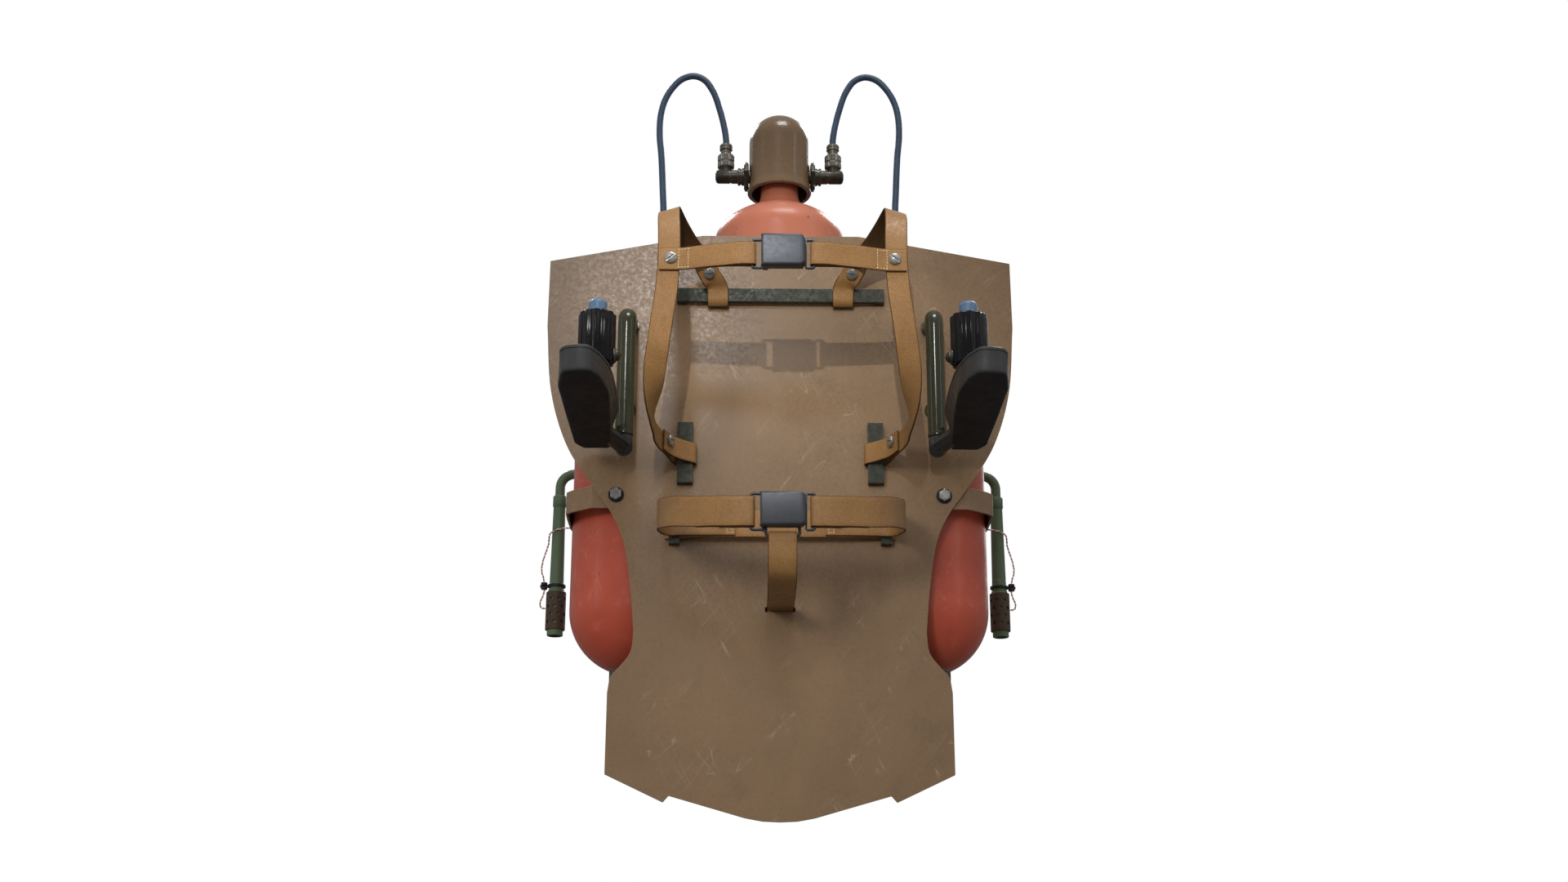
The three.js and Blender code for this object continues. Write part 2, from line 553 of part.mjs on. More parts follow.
const CROTCH_BAR_Z = WAIST.z - 27;    // the waist buckle's lower bar

// From a loop on the waist buckle, under the seat and through the plate's slot to a tail behind it.
function crotchStrap() {
  const y = WAIST.y;
  const z = CROTCH_BAR_Z;
  const path = [[y + 0.7, z - 25], [y + 1.6, z - 18], [y + 3.5, z - 9], ...arc(y, z, 3.5, 3.5, 0, 180, 4),
      [y - 3.5, z - 10],
    [y - 3.4, z - 18], [y - 1.6, z - 28], [y + 7, z - 40], [y + 24, z - 46], [y + 58, z - 47],
    [y + 108, z - 45], [-45, z - 42],
    [-14, CROTCH.slotZ], [3, CROTCH.slotZ], [6.6, CROTCH.slotZ - 3.4], [7.4, CROTCH.slotZ - 8],
    [7.4, CROTCH.slotZ - 26]];
  // Drawn with y across and z up, then turned so that the width runs along x.
  return strip(path.map(([a, b]) => v2(a, b)), LEATHER, CROTCH.width)
    .rotateX(Math.PI / 2).rotateZ(Math.PI / 2).translate(-CROTCH.width / 2, 0, 0);
}

// Lift-latch buckle, centred on its own origin with its front towards -y; half is half its frame's height.
const COVER = { halfX: 25.2, halfZ: 19.5, frontY: -16, rimY: -3.4, wall: 1.6 };
const COVER_HINGE = { x: -21, y: -5.6, r: 1.1 };

const wireBar = (points) => tube(rounded(points, 2.5, 2), FRAME_WIRE_R, 7);
const frameBar = (side, from, half) =>
  wireBar([v3(side * from, 0, half), v3(side * FRAME_X, 0, half), v3(side * FRAME_X, 0, -half),
      v3(side * from, 0, -half)]);
const hingePin = (radius, half) => rod(v3(COVER_HINGE.x, COVER_HINGE.y, -half),
    v3(COVER_HINGE.x, COVER_HINGE.y, half), radius, 8);

function buckleBody(half, withLowerBar) {
  const parts = [box(-23, 23, -2.6, 3.2, -16.8, 16.8), box(-23, -17, -2.6, 3.2, -half - 1.6, half + 1.6),
      frameBar(-1, 20, half),
    box(-22.6, -19.4, -6.8, -2, -17.3, -15), box(-22.6, -19.4, -6.8, -2, 15, 17.3),
    hingePin(COVER_HINGE.r, 19.2)];
  if (withLowerBar) parts.push(wireBar([v3(-18.6, 0, -15), v3(-18.6, 0, -27), v3(18.6, 0, -27),
      v3(18.6, 0, -15)]));
  return cut(join(...parts), box(-9, 30, -1.4, 1.4, -12, 12));
}

// Cover with a rounded nose, open at its hinged end; the end's lower corners are cut back to clear the body.
function buckleCover() {
  const { halfX, halfZ, frontY, rimY, wall } = COVER;
  const corner = 7;
  const drawing = (inset, end) => {
    const round = (z, from, to) => arc(halfX - corner, z, corner - inset, corner - inset, from, to,
        4).map(([a, b]) => v2(a, b));
    return new THREE.Shape([v2(end, inset - halfZ), ...round(corner - halfZ, -90, 0),
        ...round(halfZ - corner, 0, 90), v2(end, halfZ - inset)]);
  };
  const shell = cut(upright(drawing(0, -halfX), frontY, rimY), upright(drawing(wall, -halfX - 5),
      frontY + 2, rimY + 5));
  const relief = new THREE.ExtrudeGeometry(new THREE.Shape([v2(-27, -10.5), v2(-25.2, -10.5),
      v2(-22.6, -3), v2(-27, -3)]),
    { depth: 50, bevelEnabled: false }).translate(0, 0, -25);
  return cut(shell, relief, hingePin(1.5, 25));
}

const buckleTongue = (half) => join(box(-6, 26, -1, 1, -11.6, 11.6), box(24.6, 27, -2, 2, -half, half),
    frameBar(1, 26, half));

// ---------- armrests and controls ----------
// Tube that carries an armrest: an upper bend and a lower stub, each on a foot against the plate. Its open
// lower end takes the armrest's spigot.
function armTube() {
  const stubZ = 500;
  const main = tube(rounded([v3(-ARM.x, -2, ARM.topZ), v3(-ARM.x, ARM.y, ARM.topZ),
      v3(-ARM.x, ARM.y, ARM.endZ)], 15, 4), ARM.r, 14);
  const foot = (z, r) => rod(v3(-ARM.x, -4, z), v3(-ARM.x, -FIT, z), r, 16);
  const body = join(main, foot(ARM.topZ, 12.5), rod(v3(-ARM.x, -2, stubZ), v3(-ARM.x, ARM.y, stubZ), 7.5,
      12), foot(stubZ, 10.5));
  return cut(body, rod(v3(-ARM.x, ARM.y, ARM.endZ - 1), v3(-ARM.x, ARM.y, ARM.endZ + 26), 7.6, 12));
}

// Forearm pad with the elbow whose spigot turns in the arm tube, and the stem that carries the grip.
function armrest() {
  const { outerX, innerX, rearY, frontY, z, thick } = PAD;
  const outline = new THREE.Shape([v2(-outerX + 8, rearY), v2(-outerX, rearY - 18),
      v2(-outerX, frontY + 50),
    v2(-outerX + 5, frontY + 16), v2(-outerX + 12, frontY + 5), v2(-217, frontY), v2(-206.5, frontY + 3),
    v2(-197.5, frontY + 25),
    v2(-190.5, frontY + 62), v2(-innerX, frontY + 95), v2(-innerX, frontY + 140), v2(-191, -110),
    v2(-199, rearY - 12), v2(-203.5, rearY)]);
  const pad = new THREE.ExtrudeGeometry(outline, { depth: thick - 8, bevelThickness: 4, bevelSize: 3,
      bevelOffset: -3,
    bevelSegments: 1 }).translate(0, 0, z + 4);
  const at = (height) => v3(-ARM.x, ARM.y, height);
  const elbow = new THREE.SphereGeometry(ARM.r, 14, 7).translate(-ARM.x, ARM.y, ARM.neckZ);
  const body = join(pad, elbow, rod(at(ARM.neckZ), at(ARM.endZ - FIT), ARM.r, 14),
      rod(at(ARM.endZ - 2), at(ARM.endZ + 22), 7, 12),
    rod(at(ARM.neckZ), v3(-216, -90, 449), 10.6, 14));
  const grips = (height) => v3(-GRIP.x, GRIP.y, height);
  const stem = rod(grips(z + 10), grips(GRIP.pivotZ + 18), 8, 12);
  return cut(join(body, stem),
    rod(v3(-GRIP.x - 12, GRIP.y, GRIP.pivotZ), v3(-GRIP.x + 12, GRIP.y, GRIP.pivotZ), 4.6, 12));
}

// Fluted grip, drawn about its pivot: a well on top for its button, hollow below for the stem, and the
// cross bolt it tilts on, with a domed head.
function grip() {
  const flutes = 12;
  const points = flutes * 2;
  const fluted = new THREE.Shape(Array.from({ length: points }, (_, i) => {
    const a = 2 * Math.PI * i / points;
    const r = i % 2 ? GRIP.r - 1.7 : GRIP.r;
    return v2(r * Math.cos(a), r * Math.sin(a));
  }));
  const low = GRIP.bottomZ - GRIP.pivotZ;
  const high = GRIP.topZ - GRIP.pivotZ;
  const body = new THREE.ExtrudeGeometry(fluted, { depth: high - low - 4, bevelThickness: 2,
      bevelSize: 1.6, bevelOffset: -1.6,
    bevelSegments: 1 }).translate(0, 0, low + 2);
  const axis = (z) => v3(0, 0, z);
  const hollow = cut(body, rod(axis(low - 5), axis(low + 36), 14.5, 14),
      rod(axis(high - 16), axis(high + 10), 11, 14));
  return join(hollow, rod(v3(-19, 0, 0), v3(21, 0, 0), 4, 10), rod(v3(19.6, 0, 0), v3(22, 0, 0), 8.5, 14),
    new THREE.SphereGeometry(6.2, 10, 6).scale(0.8, 1, 1).translate(22.5, 0, 0));
}

// Thumb button, drawn about the grip's pivot.
function gripButton() {
  const high = GRIP.topZ - GRIP.pivotZ;
  return turned([[0, high - 10], [10.4, high - 10], [10.4, high + 10],
      ...arc(0, high + 10, 10.4, 8, 25, 90, 3)], 0, 0, 14);
}

// ---------- the object ----------
place('load_plate', loadPlate(), paint);
place('shoulder_bar', strapBar(259, 18, 12).translate(0, 0, 648.5), darkSteel);
placePair('side_bar', standingBar(77, 19, -116, 442.3, 8), darkSteel);
placePair('waist_bar', standingBar(52, 13, -127.6, 353.6, 5), darkSteel);
place('cylinder_cradle', cylinderCradle(), darkSteel);
placePair('clamp_band', clampBand(), paint);
placePair('clamp_bolt', clampBolt(), plainSteel);

place('main_cylinder', cylinder(MAIN), redPaint);
placePair('side_cylinder', cylinder(sideCylinder), redPaint);
place('main_valve', mainValve(), fittingMetal);
place('valve_guard', valveGuard(), guardPaint);
placePair('hose_elbow', hoseElbow(), fittingMetal);
placePair('hose', hose(), hoseRubber);
placePair('side_valve', sideValve(), fittingMetal);
placePair('handwheel', handwheel(), rubber, [-SIDE.x - 30, SIDE.y, VALVE_Z]);
placePair('outlet_pipe', outletPipe(), pipePaint);
placePair('vent_sleeve', ventSleeve(), ventSteel, [-PIPE.x, PIPE.y, 264.5]);
placePair('cable', cable(), cableSheath);

placePair('shoulder_strap', shoulderStrap(), leather);
placePair('chest_strap', chestStrap(), leather);
placePair('waist_strap', waistStrap(), leather);
place('back_belt', backBelt(), leather);
place('crotch_strap', crotchStrap(), leather);
for (const [name, { at, towards }] of Object.entries(SCREWS)) placePair(`${name}_screw`,
    bindingScrew(at, towards), plainSteel);

for (const [name, at] of [['chest', CHEST], ['waist', WAIST]]) {
  const half = at.width / 2 + 3;
  const buckle = new THREE.Group();
  buckle.position.set(0, at.y, at.z);
  assembly.add(buckle);
  place(`${name}_buckle_body`, buckleBody(half, name === 'waist'), buckleMetal, buckle);
  place(`${name}_buckle_cover`, buckleCover(), buckleMetal, buckle);
  place(`${name}_buckle_tongue`, buckleTongue(half), buckleMetal, buckle);
}

const gripAt = [-GRIP.x, GRIP.y, GRIP.pivotZ];
placePair('arm_tube', armTube(), olive);
placePair('armrest', armrest(), rubber);
placePair('grip', grip(), gripPlastic, gripAt);
placePair('grip_button', gripButton(), buttonPlastic, gripAt);

export default object;
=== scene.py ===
"""Looks of a back-worn breathing apparatus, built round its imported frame.

Pieces are drawn in millimetres from the lowest point of the load plate's wearer face; the frame's own origin
is at ORIGIN in those coordinates. A paired piece is drawn on the left (-X), and its right copy is mirrored.
"""

import math

import bmesh
import bpy
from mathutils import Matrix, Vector


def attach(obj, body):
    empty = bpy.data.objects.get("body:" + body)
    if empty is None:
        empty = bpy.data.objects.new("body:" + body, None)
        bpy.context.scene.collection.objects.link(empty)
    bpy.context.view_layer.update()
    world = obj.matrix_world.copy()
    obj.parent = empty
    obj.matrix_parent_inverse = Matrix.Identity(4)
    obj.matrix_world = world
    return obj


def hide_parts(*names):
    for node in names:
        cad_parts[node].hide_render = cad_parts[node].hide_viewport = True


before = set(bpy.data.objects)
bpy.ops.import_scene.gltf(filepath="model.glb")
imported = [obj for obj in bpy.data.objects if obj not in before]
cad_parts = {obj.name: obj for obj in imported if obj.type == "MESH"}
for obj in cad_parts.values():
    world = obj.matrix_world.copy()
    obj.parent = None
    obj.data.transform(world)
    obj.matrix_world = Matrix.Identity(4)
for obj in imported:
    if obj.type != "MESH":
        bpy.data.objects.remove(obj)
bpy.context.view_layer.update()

MM = 0.001
ORIGIN = Vector((0, 85, 174))
UP = Vector((0, 0, 1))
LEATHER = 2.2                       # strap thickness
SIDE = {"x": -180.5, "y": 98, "r": 79.5, "base": 268.5, "shoulder": 556, "dome": 56, "neck": 22, "top": 628}
MAIN = {"x": 0, "y": 104, "r": 86, "base": 275, "shoulder": 767, "dome": 52, "neck": 25, "top": 856}
GUARD_R, GUARD_DOME_Z = 40.5, 914   # the guard's radius, and the height where its dome starts
PORT_Z = 867
VALVE_Z = 648
PIPE_X, PIPE_Y = -287, 188
CHEST = (0, -224, 611)
WAIST = (0, -198, 314.5)
BACK_Z = 352.5                      # height of the waist belt on the plate
ARM = (-188, -45)
ARM_TOP, ARM_STUB, ARM_END = 609, 500, 452
GRIP = (-206.7, -240, 481)
GRIP_R, GRIP_TOP = 21, 530
BOLT_X, BOLT_Z, BOLT_HOLE_R = -199, 391, 4.4
SLOT_Z = 249.5                      # height of the slot that the crotch strap goes through
SHELF_TOP = 178
FRAME_X, WIRE_R = 35, 1.8           # reach of a buckle's wire frame, and the wire's radius
PIN_X, PIN_Y, PIN_R = -21, -5.6, 1.1    # hinge pin of a buckle's cover
SHOULDER_WIDTH, CHEST_WIDTH, WAIST_WIDTH, CROTCH_WIDTH = 26, 28, 35, 32


# ---------- shapes ----------
class Shape:
    """Vertices in mm, faces, and each face's material slot."""

    def __init__(self, verts=(), faces=(), slot=0):
        self.verts = [Vector(v) for v in verts]
        self.faces = [tuple(f) for f in faces]
        self.slots = [slot] * len(self.faces)

    def __add__(self, other):
        first = len(self.verts)
        both = Shape(self.verts + other.verts)
        both.faces = self.faces + [tuple(i + first for i in f) for f in other.faces]
        both.slots = self.slots + other.slots
        return both

    def painted(self, slot):
        self.slots = [slot] * len(self.faces)
        return self

    def moved(self, x, y, z):
        return self.mapped(lambda v: v + Vector((x, y, z)))

    def mapped(self, function):
        out = Shape([function(v) for v in self.verts])
        out.faces, out.slots = list(self.faces), list(self.slots)
        return out


def arc(cx, cy, rx, ry, start, end, steps):
    """Points of an arc of an ellipse between two angles in degrees."""
    out = []
    for i in range(steps + 1):
        a = math.radians(start + (end - start) * i / steps)
        out.append((cx + rx * math.cos(a), cy + ry * math.sin(a)))
    return out


def lathe(profile, origin=(0, 0, 0), axis=(0, 0, 1), sides=48, reshape=None, slot=0):
    """A closed profile of (radius, height), or one that starts and ends on the axis, turned about it."""
    turn = UP.rotation_difference(Vector(axis).normalized())
    origin = Vector(origin)
    verts, faces, rings = [], [], []
    for r, h in profile:
        count = 1 if r < 1e-6 else sides
        rings.append((len(verts), count))
        for k in range(count):
            a = 2 * math.pi * k / sides
            s = reshape(a, r) if reshape and count > 1 else r
            verts.append(origin + turn @ Vector((s * math.cos(a), s * math.sin(a), h)))
    for (low, n_low), (high, n_high) in zip(rings, rings[1:]):
        for k in range(sides):
            j = (k + 1) % sides
            ring = [low + k, low + j] if n_low > 1 else [low]
            ring += [high + j, high + k] if n_high > 1 else [high]
            if len(ring) > 2:
                faces.append(ring)
    return Shape(verts, faces, slot)


def rod(start, end, r, chamfer=0.6, sides=32, slot=0):
    start, end = Vector(start), Vector(end)
    h = (end - start).length
    c = min(chamfer, h / 2.1, r / 2)
    profile = [(0, 0), (r - c, 0), (r, c), (r, h - c), (r - c, h), (0, h)]
    return lathe(profile, start, end - start, sides, slot=slot)


def hexagon(start, end, flats, slot=0):
    """A hexagon nut or bolt head with chamfered corners."""
    start, end = Vector(start), Vector(end)
    h = (end - start).length
    sixth = math.pi / 3
    outer = flats / 2 / math.cos(sixth / 2)
    c = min(0.045 * flats, h / 3)

    def flat_sides(a, r):
        return min(r, flats / 2 / math.cos((a + sixth / 2) % sixth - sixth / 2))

    profile = [(0, 0), (0.48 * flats, 0), (outer, c), (outer, h - c), (0.48 * flats, h), (0, h)]
    return lathe(profile, start, end - start, 48, flat_sides, slot)


def ball(centre, r, squash=1.0, axis=(0, 0, 1), slot=0):
    angles = [math.radians(d) for d in range(-90, 91, 10)]
    profile = [(r * math.cos(a), r * squash * math.sin(a)) for a in angles]
    return lathe(profile, centre, axis, 32, slot=slot)


def block(x0, x1, y0, y1, z0, z1, slot=0):
    verts = [(x, y, z) for x in (x0, x1) for y in (y0, y1) for z in (z0, z1)]
    faces = [(0, 1, 3, 2), (4, 6, 7, 5), (0, 4, 5, 1), (2, 3, 7, 6), (0, 2, 6, 4), (1, 5, 7, 3)]
    return Shape(verts, faces, slot)


def prism(outline, low, high, axis="y"):
    """An outline drawn in xz (axis y) or in xy (axis z), made solid between two levels."""
    n = len(outline)

    def at(p, level):
        return (p[0], level, p[1]) if axis == "y" else (p[0], p[1], level)

    verts = [at(p, low) for p in outline] + [at(p, high) for p in outline]
    faces = [(i, (i + 1) % n, (i + 1) % n + n, i + n) for i in range(n)]
    return Shape(verts, faces + [tuple(range(n)), tuple(range(n, 2 * n))])


def loft(rings, slot=0):
    n = len(rings[0])
    verts = [v for ring in rings for v in ring]
    faces = []
    for r in range(len(rings) - 1):
        for i in range(n):
            j = (i + 1) % n
            faces.append((r * n + i, r * n + j, r * n + j + n, r * n + i + n))
    last = (len(rings) - 1) * n
    return Shape(verts, faces + [tuple(range(n)), tuple(range(last, last + n))], slot)


def curve(points, step=3.0, alpha=0.5):
    """A Catmull-Rom curve through points; any numbers after the first three are carried along."""
    pts = [list(map(float, p)) for p in points]
    first = [2 * a - b for a, b in zip(pts[0], pts[1])]
    last = [2 * a - b for a, b in zip(pts[-1], pts[-2])]
    pts = [first] + pts + [last]
    out = []
    for p0, p1, p2, p3 in zip(pts, pts[1:], pts[2:], pts[3:]):
        gaps = [max(math.dist(a[:3], b[:3]) ** alpha, 1e-4) for a, b in ((p0, p1), (p1, p2), (p2, p3))]
        d0, d1, d2 = gaps
        steps = max(2, math.ceil(math.dist(p1[:3], p2[:3]) / step))
        for i in range(steps):
            t = i / steps
            point = []
            for a, b, c, d in zip(p0, p1, p2, p3):
                m1 = ((b - a) / d0 - (c - a) / (d0 + d1) + (c - b) / d1) * d1
                m2 = ((c - b) / d1 - (d - b) / (d1 + d2) + (d - c) / d2) * d1
                point.append(b + m1 * t + (3 * (c - b) - 2 * m1 - m2) * t * t
                             + (2 * (b - c) + m1 + m2) * t * t * t)
            out.append(point)
    return out + [pts[-2]]


def rounded(points, radius, steps=8):
    """The corners of a polyline rounded with a radius."""
    pts = [Vector(p) for p in points]
    out = [pts[0]]
    for a, b, c in zip(pts, pts[1:], pts[2:]):
        back, ahead = (a - b).normalized(), (c - b).normalized()
        half = back.angle(ahead) / 2
        if half > math.radians(89):
            out.append(b)
            continue
        reach = min(radius / math.tan(half), (a - b).length / 2.05, (c - b).length / 2.05)
        r = reach * math.tan(half)
        centre = b + (back + ahead).normalized() * (r / math.sin(half))
        start, end = ((b + way * reach - centre).normalized() for way in (back, ahead))
        out += [centre + start.slerp(end, k / steps) * r for k in range(steps + 1)]
    return out + [pts[-1]]


def frames(path):
    """For each point of a path: the point, its direction and two directions across it, without twist."""
    pts = [Vector(p[:3]) for p in path]
    out = []
    side = None
    for i, p in enumerate(pts):
        ahead = (pts[min(i + 1, len(pts) - 1)] - pts[max(i - 1, 0)]).normalized()
        if side is None:
            side = UP.cross(ahead) if abs(ahead.z) < 0.95 else Vector((1, 0, 0))
        side = (side - ahead * side.dot(ahead)).normalized()
        out.append((p, ahead, side, ahead.cross(side)))
    return out


def tube(path, radius, sides=20, slot=0):
    rings = []
    for p, _, side, up in frames(path):
        angles = [2 * math.pi * k / sides for k in range(sides)]
        rings.append([p + side * radius * math.cos(a) + up * radius * math.sin(a) for a in angles])
    return loft(rings, slot)


class Strap:
    """A leather strap along control points of (x, y, z, side vector): its shape, and places on its face."""

    def __init__(self, controls, width, thickness=LEATHER):
        rows = [tuple(c[:3]) + tuple(c[3] if len(c) > 3 else (0, 0, 1)) for c in controls]
        self.rows = []
        line = curve(rows, step=2.5)
        for i, row in enumerate(line):
            a, b = Vector(line[max(i - 1, 0)][:3]), Vector(line[min(i + 1, len(line) - 1)][:3])
            ahead = (b - a).normalized()
            side = Vector(row[3:])
            side = (side - ahead * side.dot(ahead)).normalized()
            self.rows.append((Vector(row[:3]), ahead, side, ahead.cross(side)))
        self.width, self.thick = width, thickness

    def shape(self, shaded_back=lambda p: False):
        """Faces take slot 0 and the cut edges slot 1; the back takes slot 3, darker leather as painted shade,
        where the given test is true.
        """
        half, e = self.width / 2, self.thick / 2
        across = [i / 4 * (half - 0.9) for i in range(-4, 5)]
        edge = [(half - 0.28, 0.72 * e), (half, 0), (half - 0.28, -0.72 * e)]
        section = [(u, e) for u in across] + edge
        section += [(u, -e) for u in reversed(across)] + [(-u, -v) for u, v in edge]
        strap = loft([[p + side * u + up * v for u, v in section] for p, _, side, up in self.rows])
        n = len(section)
        faces = len(across) - 1
        for f in range(len(strap.faces)):
            k = f % n
            back = 3 if shaded_back(self.rows[min(f // n, len(self.rows) - 1)][0]) else 0
            strap.slots[f] = 0 if k < faces else back if faces + 4 <= k < 2 * faces + 4 else 1
        strap.slots[-2:] = [1, 1]
        return strap

    def stitch(self, row, across, along, face, turn):
        """One stitch at a row of the strap; turn lays it across the strap."""
        p, ahead, side, up = self.rows[row]
        centre = p + side * across + ahead * along + up * face * (self.thick / 2 + 0.12)
        lie = side if turn else ahead
        profile = [(0, -1.4), (0.3, -1.2), (0.42, -0.5), (0.42, 0.5), (0.3, 1.2), (0, 1.4)]
        return lathe(profile, centre, lie, 8, slot=2)

    def box_stitch(self, start, end, half, face=1):
        """A sewn rectangle between two distances along the strap."""
        spans = [0.0]
        for a, b in zip(self.rows, self.rows[1:]):
            spans.append(spans[-1] + (b[0] - a[0]).length)
        row_at = lambda s: min(range(len(spans)), key=lambda i: abs(spans[i] - s))
        out = Shape()
        count = max(1, round((end - start) / 3.6))
        for i in range(count + 1):
            s = start + (end - start) * i / count
            row = row_at(s)
            for u in (-half, half):
                out += self.stitch(row, u, s - spans[row], face, False)
        count = max(1, round(2 * half / 3.6))
        for i in range(count + 1):
            u = -half + 2 * half * i / count
            for s in (start, end):
                row = row_at(s)
                out += self.stitch(row, u, s - spans[row], face, True)
        return out


def add(name, data):
    """A new object in the scene."""
    o = bpy.data.objects.new(name, data)
    bpy.context.collection.objects.link(o)
    return o


def mesh_of(name, shape, mirrored=False, sharp=35):
    """A Blender mesh of a shape, in metres from the frame's own origin."""
    sign = -1 if mirrored else 1
    mesh = bpy.data.meshes.new(name)
    places = [(v - ORIGIN) * MM for v in shape.verts]
    mesh.from_pydata([(sign * p.x, p.y, p.z) for p in places], [], shape.faces)
    mesh.polygons.foreach_set("material_index", shape.slots)
    bm = bmesh.new()
    bm.from_mesh(mesh)
    bmesh.ops.remove_doubles(bm, verts=bm.verts, dist=1e-6)
    bmesh.ops.recalc_face_normals(bm, faces=bm.faces)
    bm.to_mesh(mesh)
    bm.free()
    mesh.shade_smooth()
    if sharp:
        mesh.set_sharp_from_angle(angle=math.radians(sharp))
    return mesh


def carve(shape, *tools):
    """The shape with the tools cut out of it."""
    cutter = Shape()
    for tool in tools:
        cutter += tool
    body = add("carve_body", mesh_of("carve_body", shape, sharp=0))
    knife = add("carve_knife", mesh_of("carve_knife", cutter, sharp=0))
    cut = body.modifiers.new("cut", "BOOLEAN")
    cut.operation, cut.object, cut.solver = "DIFFERENCE", knife, "EXACT"
    made = bpy.data.meshes.new_from_object(body.evaluated_get(bpy.context.evaluated_depsgraph_get()))
    out = Shape([v.co / MM + ORIGIN for v in made.vertices], [tuple(p.vertices) for p in made.polygons])
    out.slots = [p.material_index for p in made.polygons]
    bpy.data.objects.remove(body)
    bpy.data.objects.remove(knife)
    return out


# ---------- pieces on bodies ----------
def soften(o, bevel):
    m = o.modifiers.new("edges", "BEVEL")
    m.width, m.segments, m.limit_method = bevel * MM, 2, "ANGLE"
    m.angle_limit = math.radians(38)
    return m


def piece(name, shape, paints, body="rig", bevel=0.0, mirrored=False):
    """Adds a piece that rides on a body and stands for a CAD node of the same name."""
    mesh = mesh_of(name, shape, mirrored, 0 if bevel else 35)
    for paint in paints if isinstance(paints, (list, tuple)) else [paints]:
        mesh.materials.append(paint)
    o = add(name + "_look", mesh)
    if bevel:
        soften(o, bevel).harden_normals = True
    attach(o, body)
    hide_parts(name)


def pair(name, shape, paints, bodies=("rig", "rig"), bevel=0.0):
    for side, body in zip(("left", "right"), bodies):
        piece(f"{side}_{name}", shape, paints, body, bevel=bevel, mirrored=side == "right")


def dressed(node, paint, bevel=0.5):
    """A CAD node that keeps its shape: a paint, welded vertices and softened edges."""
    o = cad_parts[node]
    o.data.materials.clear()
    o.data.materials.append(paint)
    weld = o.modifiers.new("weld", "WELD")
    weld.merge_threshold = 2e-5
    soften(o, bevel)


# ---------- materials ----------
class Paint:
    """A Principled material whose inputs come from procedural patterns in object space, in metres."""

    def __init__(self, name, roughness=0.5, metallic=0.0, **inputs):
        self.mat = bpy.data.materials.new(name)
        self.mat.use_nodes = True
        self.tree = self.mat.node_tree
        self.shader = self.tree.nodes["Principled BSDF"]
        self.shader.inputs["Roughness"].default_value = roughness
        self.shader.inputs["Metallic"].default_value = metallic
        for key, value in inputs.items():
            self.shader.inputs[key.replace("_", " ")].default_value = value
        self.coords = self.tree.nodes.new("ShaderNodeTexCoord").outputs["Object"]
        self.height = None

    def node(self, kind, inputs, output=0, **settings):
        n = self.tree.nodes.new(kind)
        for key, value in settings.items():
            setattr(n, key, value)
        for key, value in inputs.items():
            if isinstance(value, bpy.types.NodeSocket):
                self.tree.links.new(value, n.inputs[key])
            else:
                n.inputs[key].default_value = value
        return n.outputs[output]

    def stretched(self, scale, turn):
        """The coordinates turned and then scaled, so that a pattern is drawn out along a slanted line."""
        turned = self.node("ShaderNodeMapping", {"Vector": self.coords, "Rotation": turn})
        return self.node("ShaderNodeMapping", {"Vector": turned, "Scale": scale})

    def noise(self, scale, detail=4, rough=0.6, warp=0.0, vector=None):
        inputs = {"Vector": vector or self.coords, "Scale": scale, "Detail": detail, "Roughness": rough,
                  "Distortion": warp}
        return self.node("ShaderNodeTexNoise", inputs)

    def cells(self, scale, vector):
        return self.node("ShaderNodeTexVoronoi", {"Vector": vector, "Scale": scale}, feature="F1")

    def span(self, value, low, high, to_low=0.0, to_high=1.0):
        inputs = {"Value": value, "From Min": low, "From Max": high, "To Min": to_low, "To Max": to_high}
        return self.node("ShaderNodeMapRange", inputs)

    def math(self, operation, a, b=0.0):
        return self.node("ShaderNodeMath", {0: a, 1: b}, operation=operation)

    def times(self, a, b):
        return self.math("MULTIPLY", a, b)

    def mix(self, share, a, b):
        a, b = (c if isinstance(c, bpy.types.NodeSocket) else (*c, 1) for c in (a, b))
        return self.node("ShaderNodeMixRGB", {"Fac": share, "Color1": a, "Color2": b})

    def colour(self, value):
        self.feed("Base Color", value if isinstance(value, bpy.types.NodeSocket) else (*value, 1))

    def feed(self, name, value):
        if isinstance(value, bpy.types.NodeSocket):
            self.tree.links.new(value, self.shader.inputs[name])
        else:
            self.shader.inputs[name].default_value = value

    def bump(self, height, depth_mm, strength=1.0):
        """Adds a relief of the given depth."""
        inputs = {"Height": height, "Distance": depth_mm * MM, "Strength": strength}
        if self.height is not None:
            inputs["Normal"] = self.height
        self.height = self.node("ShaderNodeBump", inputs)
        self.feed("Normal", self.height)

    def scratches(self, scale=62, width=0.007, turn=0.5):
        """Thin slanted lines where a stretched, warped noise crosses its middle."""
        one = self.noise(scale, 1, 0.5, 0.25, self.stretched((1, 1, 0.10), (0, turn, 0)))
        two = self.noise(scale * 0.8, 1, 0.5, 0.25, self.stretched((1, 1, 0.09), (0, -turn * 1.4, 0)))
        lines = []
        for value in (one, two):
            off = self.math("ABSOLUTE", self.math("SUBTRACT", value, 0.5))
            lines.append(self.span(off, 0.0, width, 1.0, 0.0))
        patches = self.span(self.noise(19, 4), 0.53, 0.61)
        return self.times(self.math("MAXIMUM", *lines), patches)

    def edges(self, radius_mm, low=0.02, high=0.16):
        """Where a rounded copy of the surface turns away from it: its worn edges."""
        soft = self.node("ShaderNodeBevel", {"Radius": radius_mm * MM}, samples=4)
        true = self.node("ShaderNodeNewGeometry", {}, "Normal")
        flat = self.node("ShaderNodeVectorMath", {0: soft, 1: true}, "Value", operation="DOT_PRODUCT")
        return self.span(self.math("SUBTRACT", 1.0, flat), low, high)


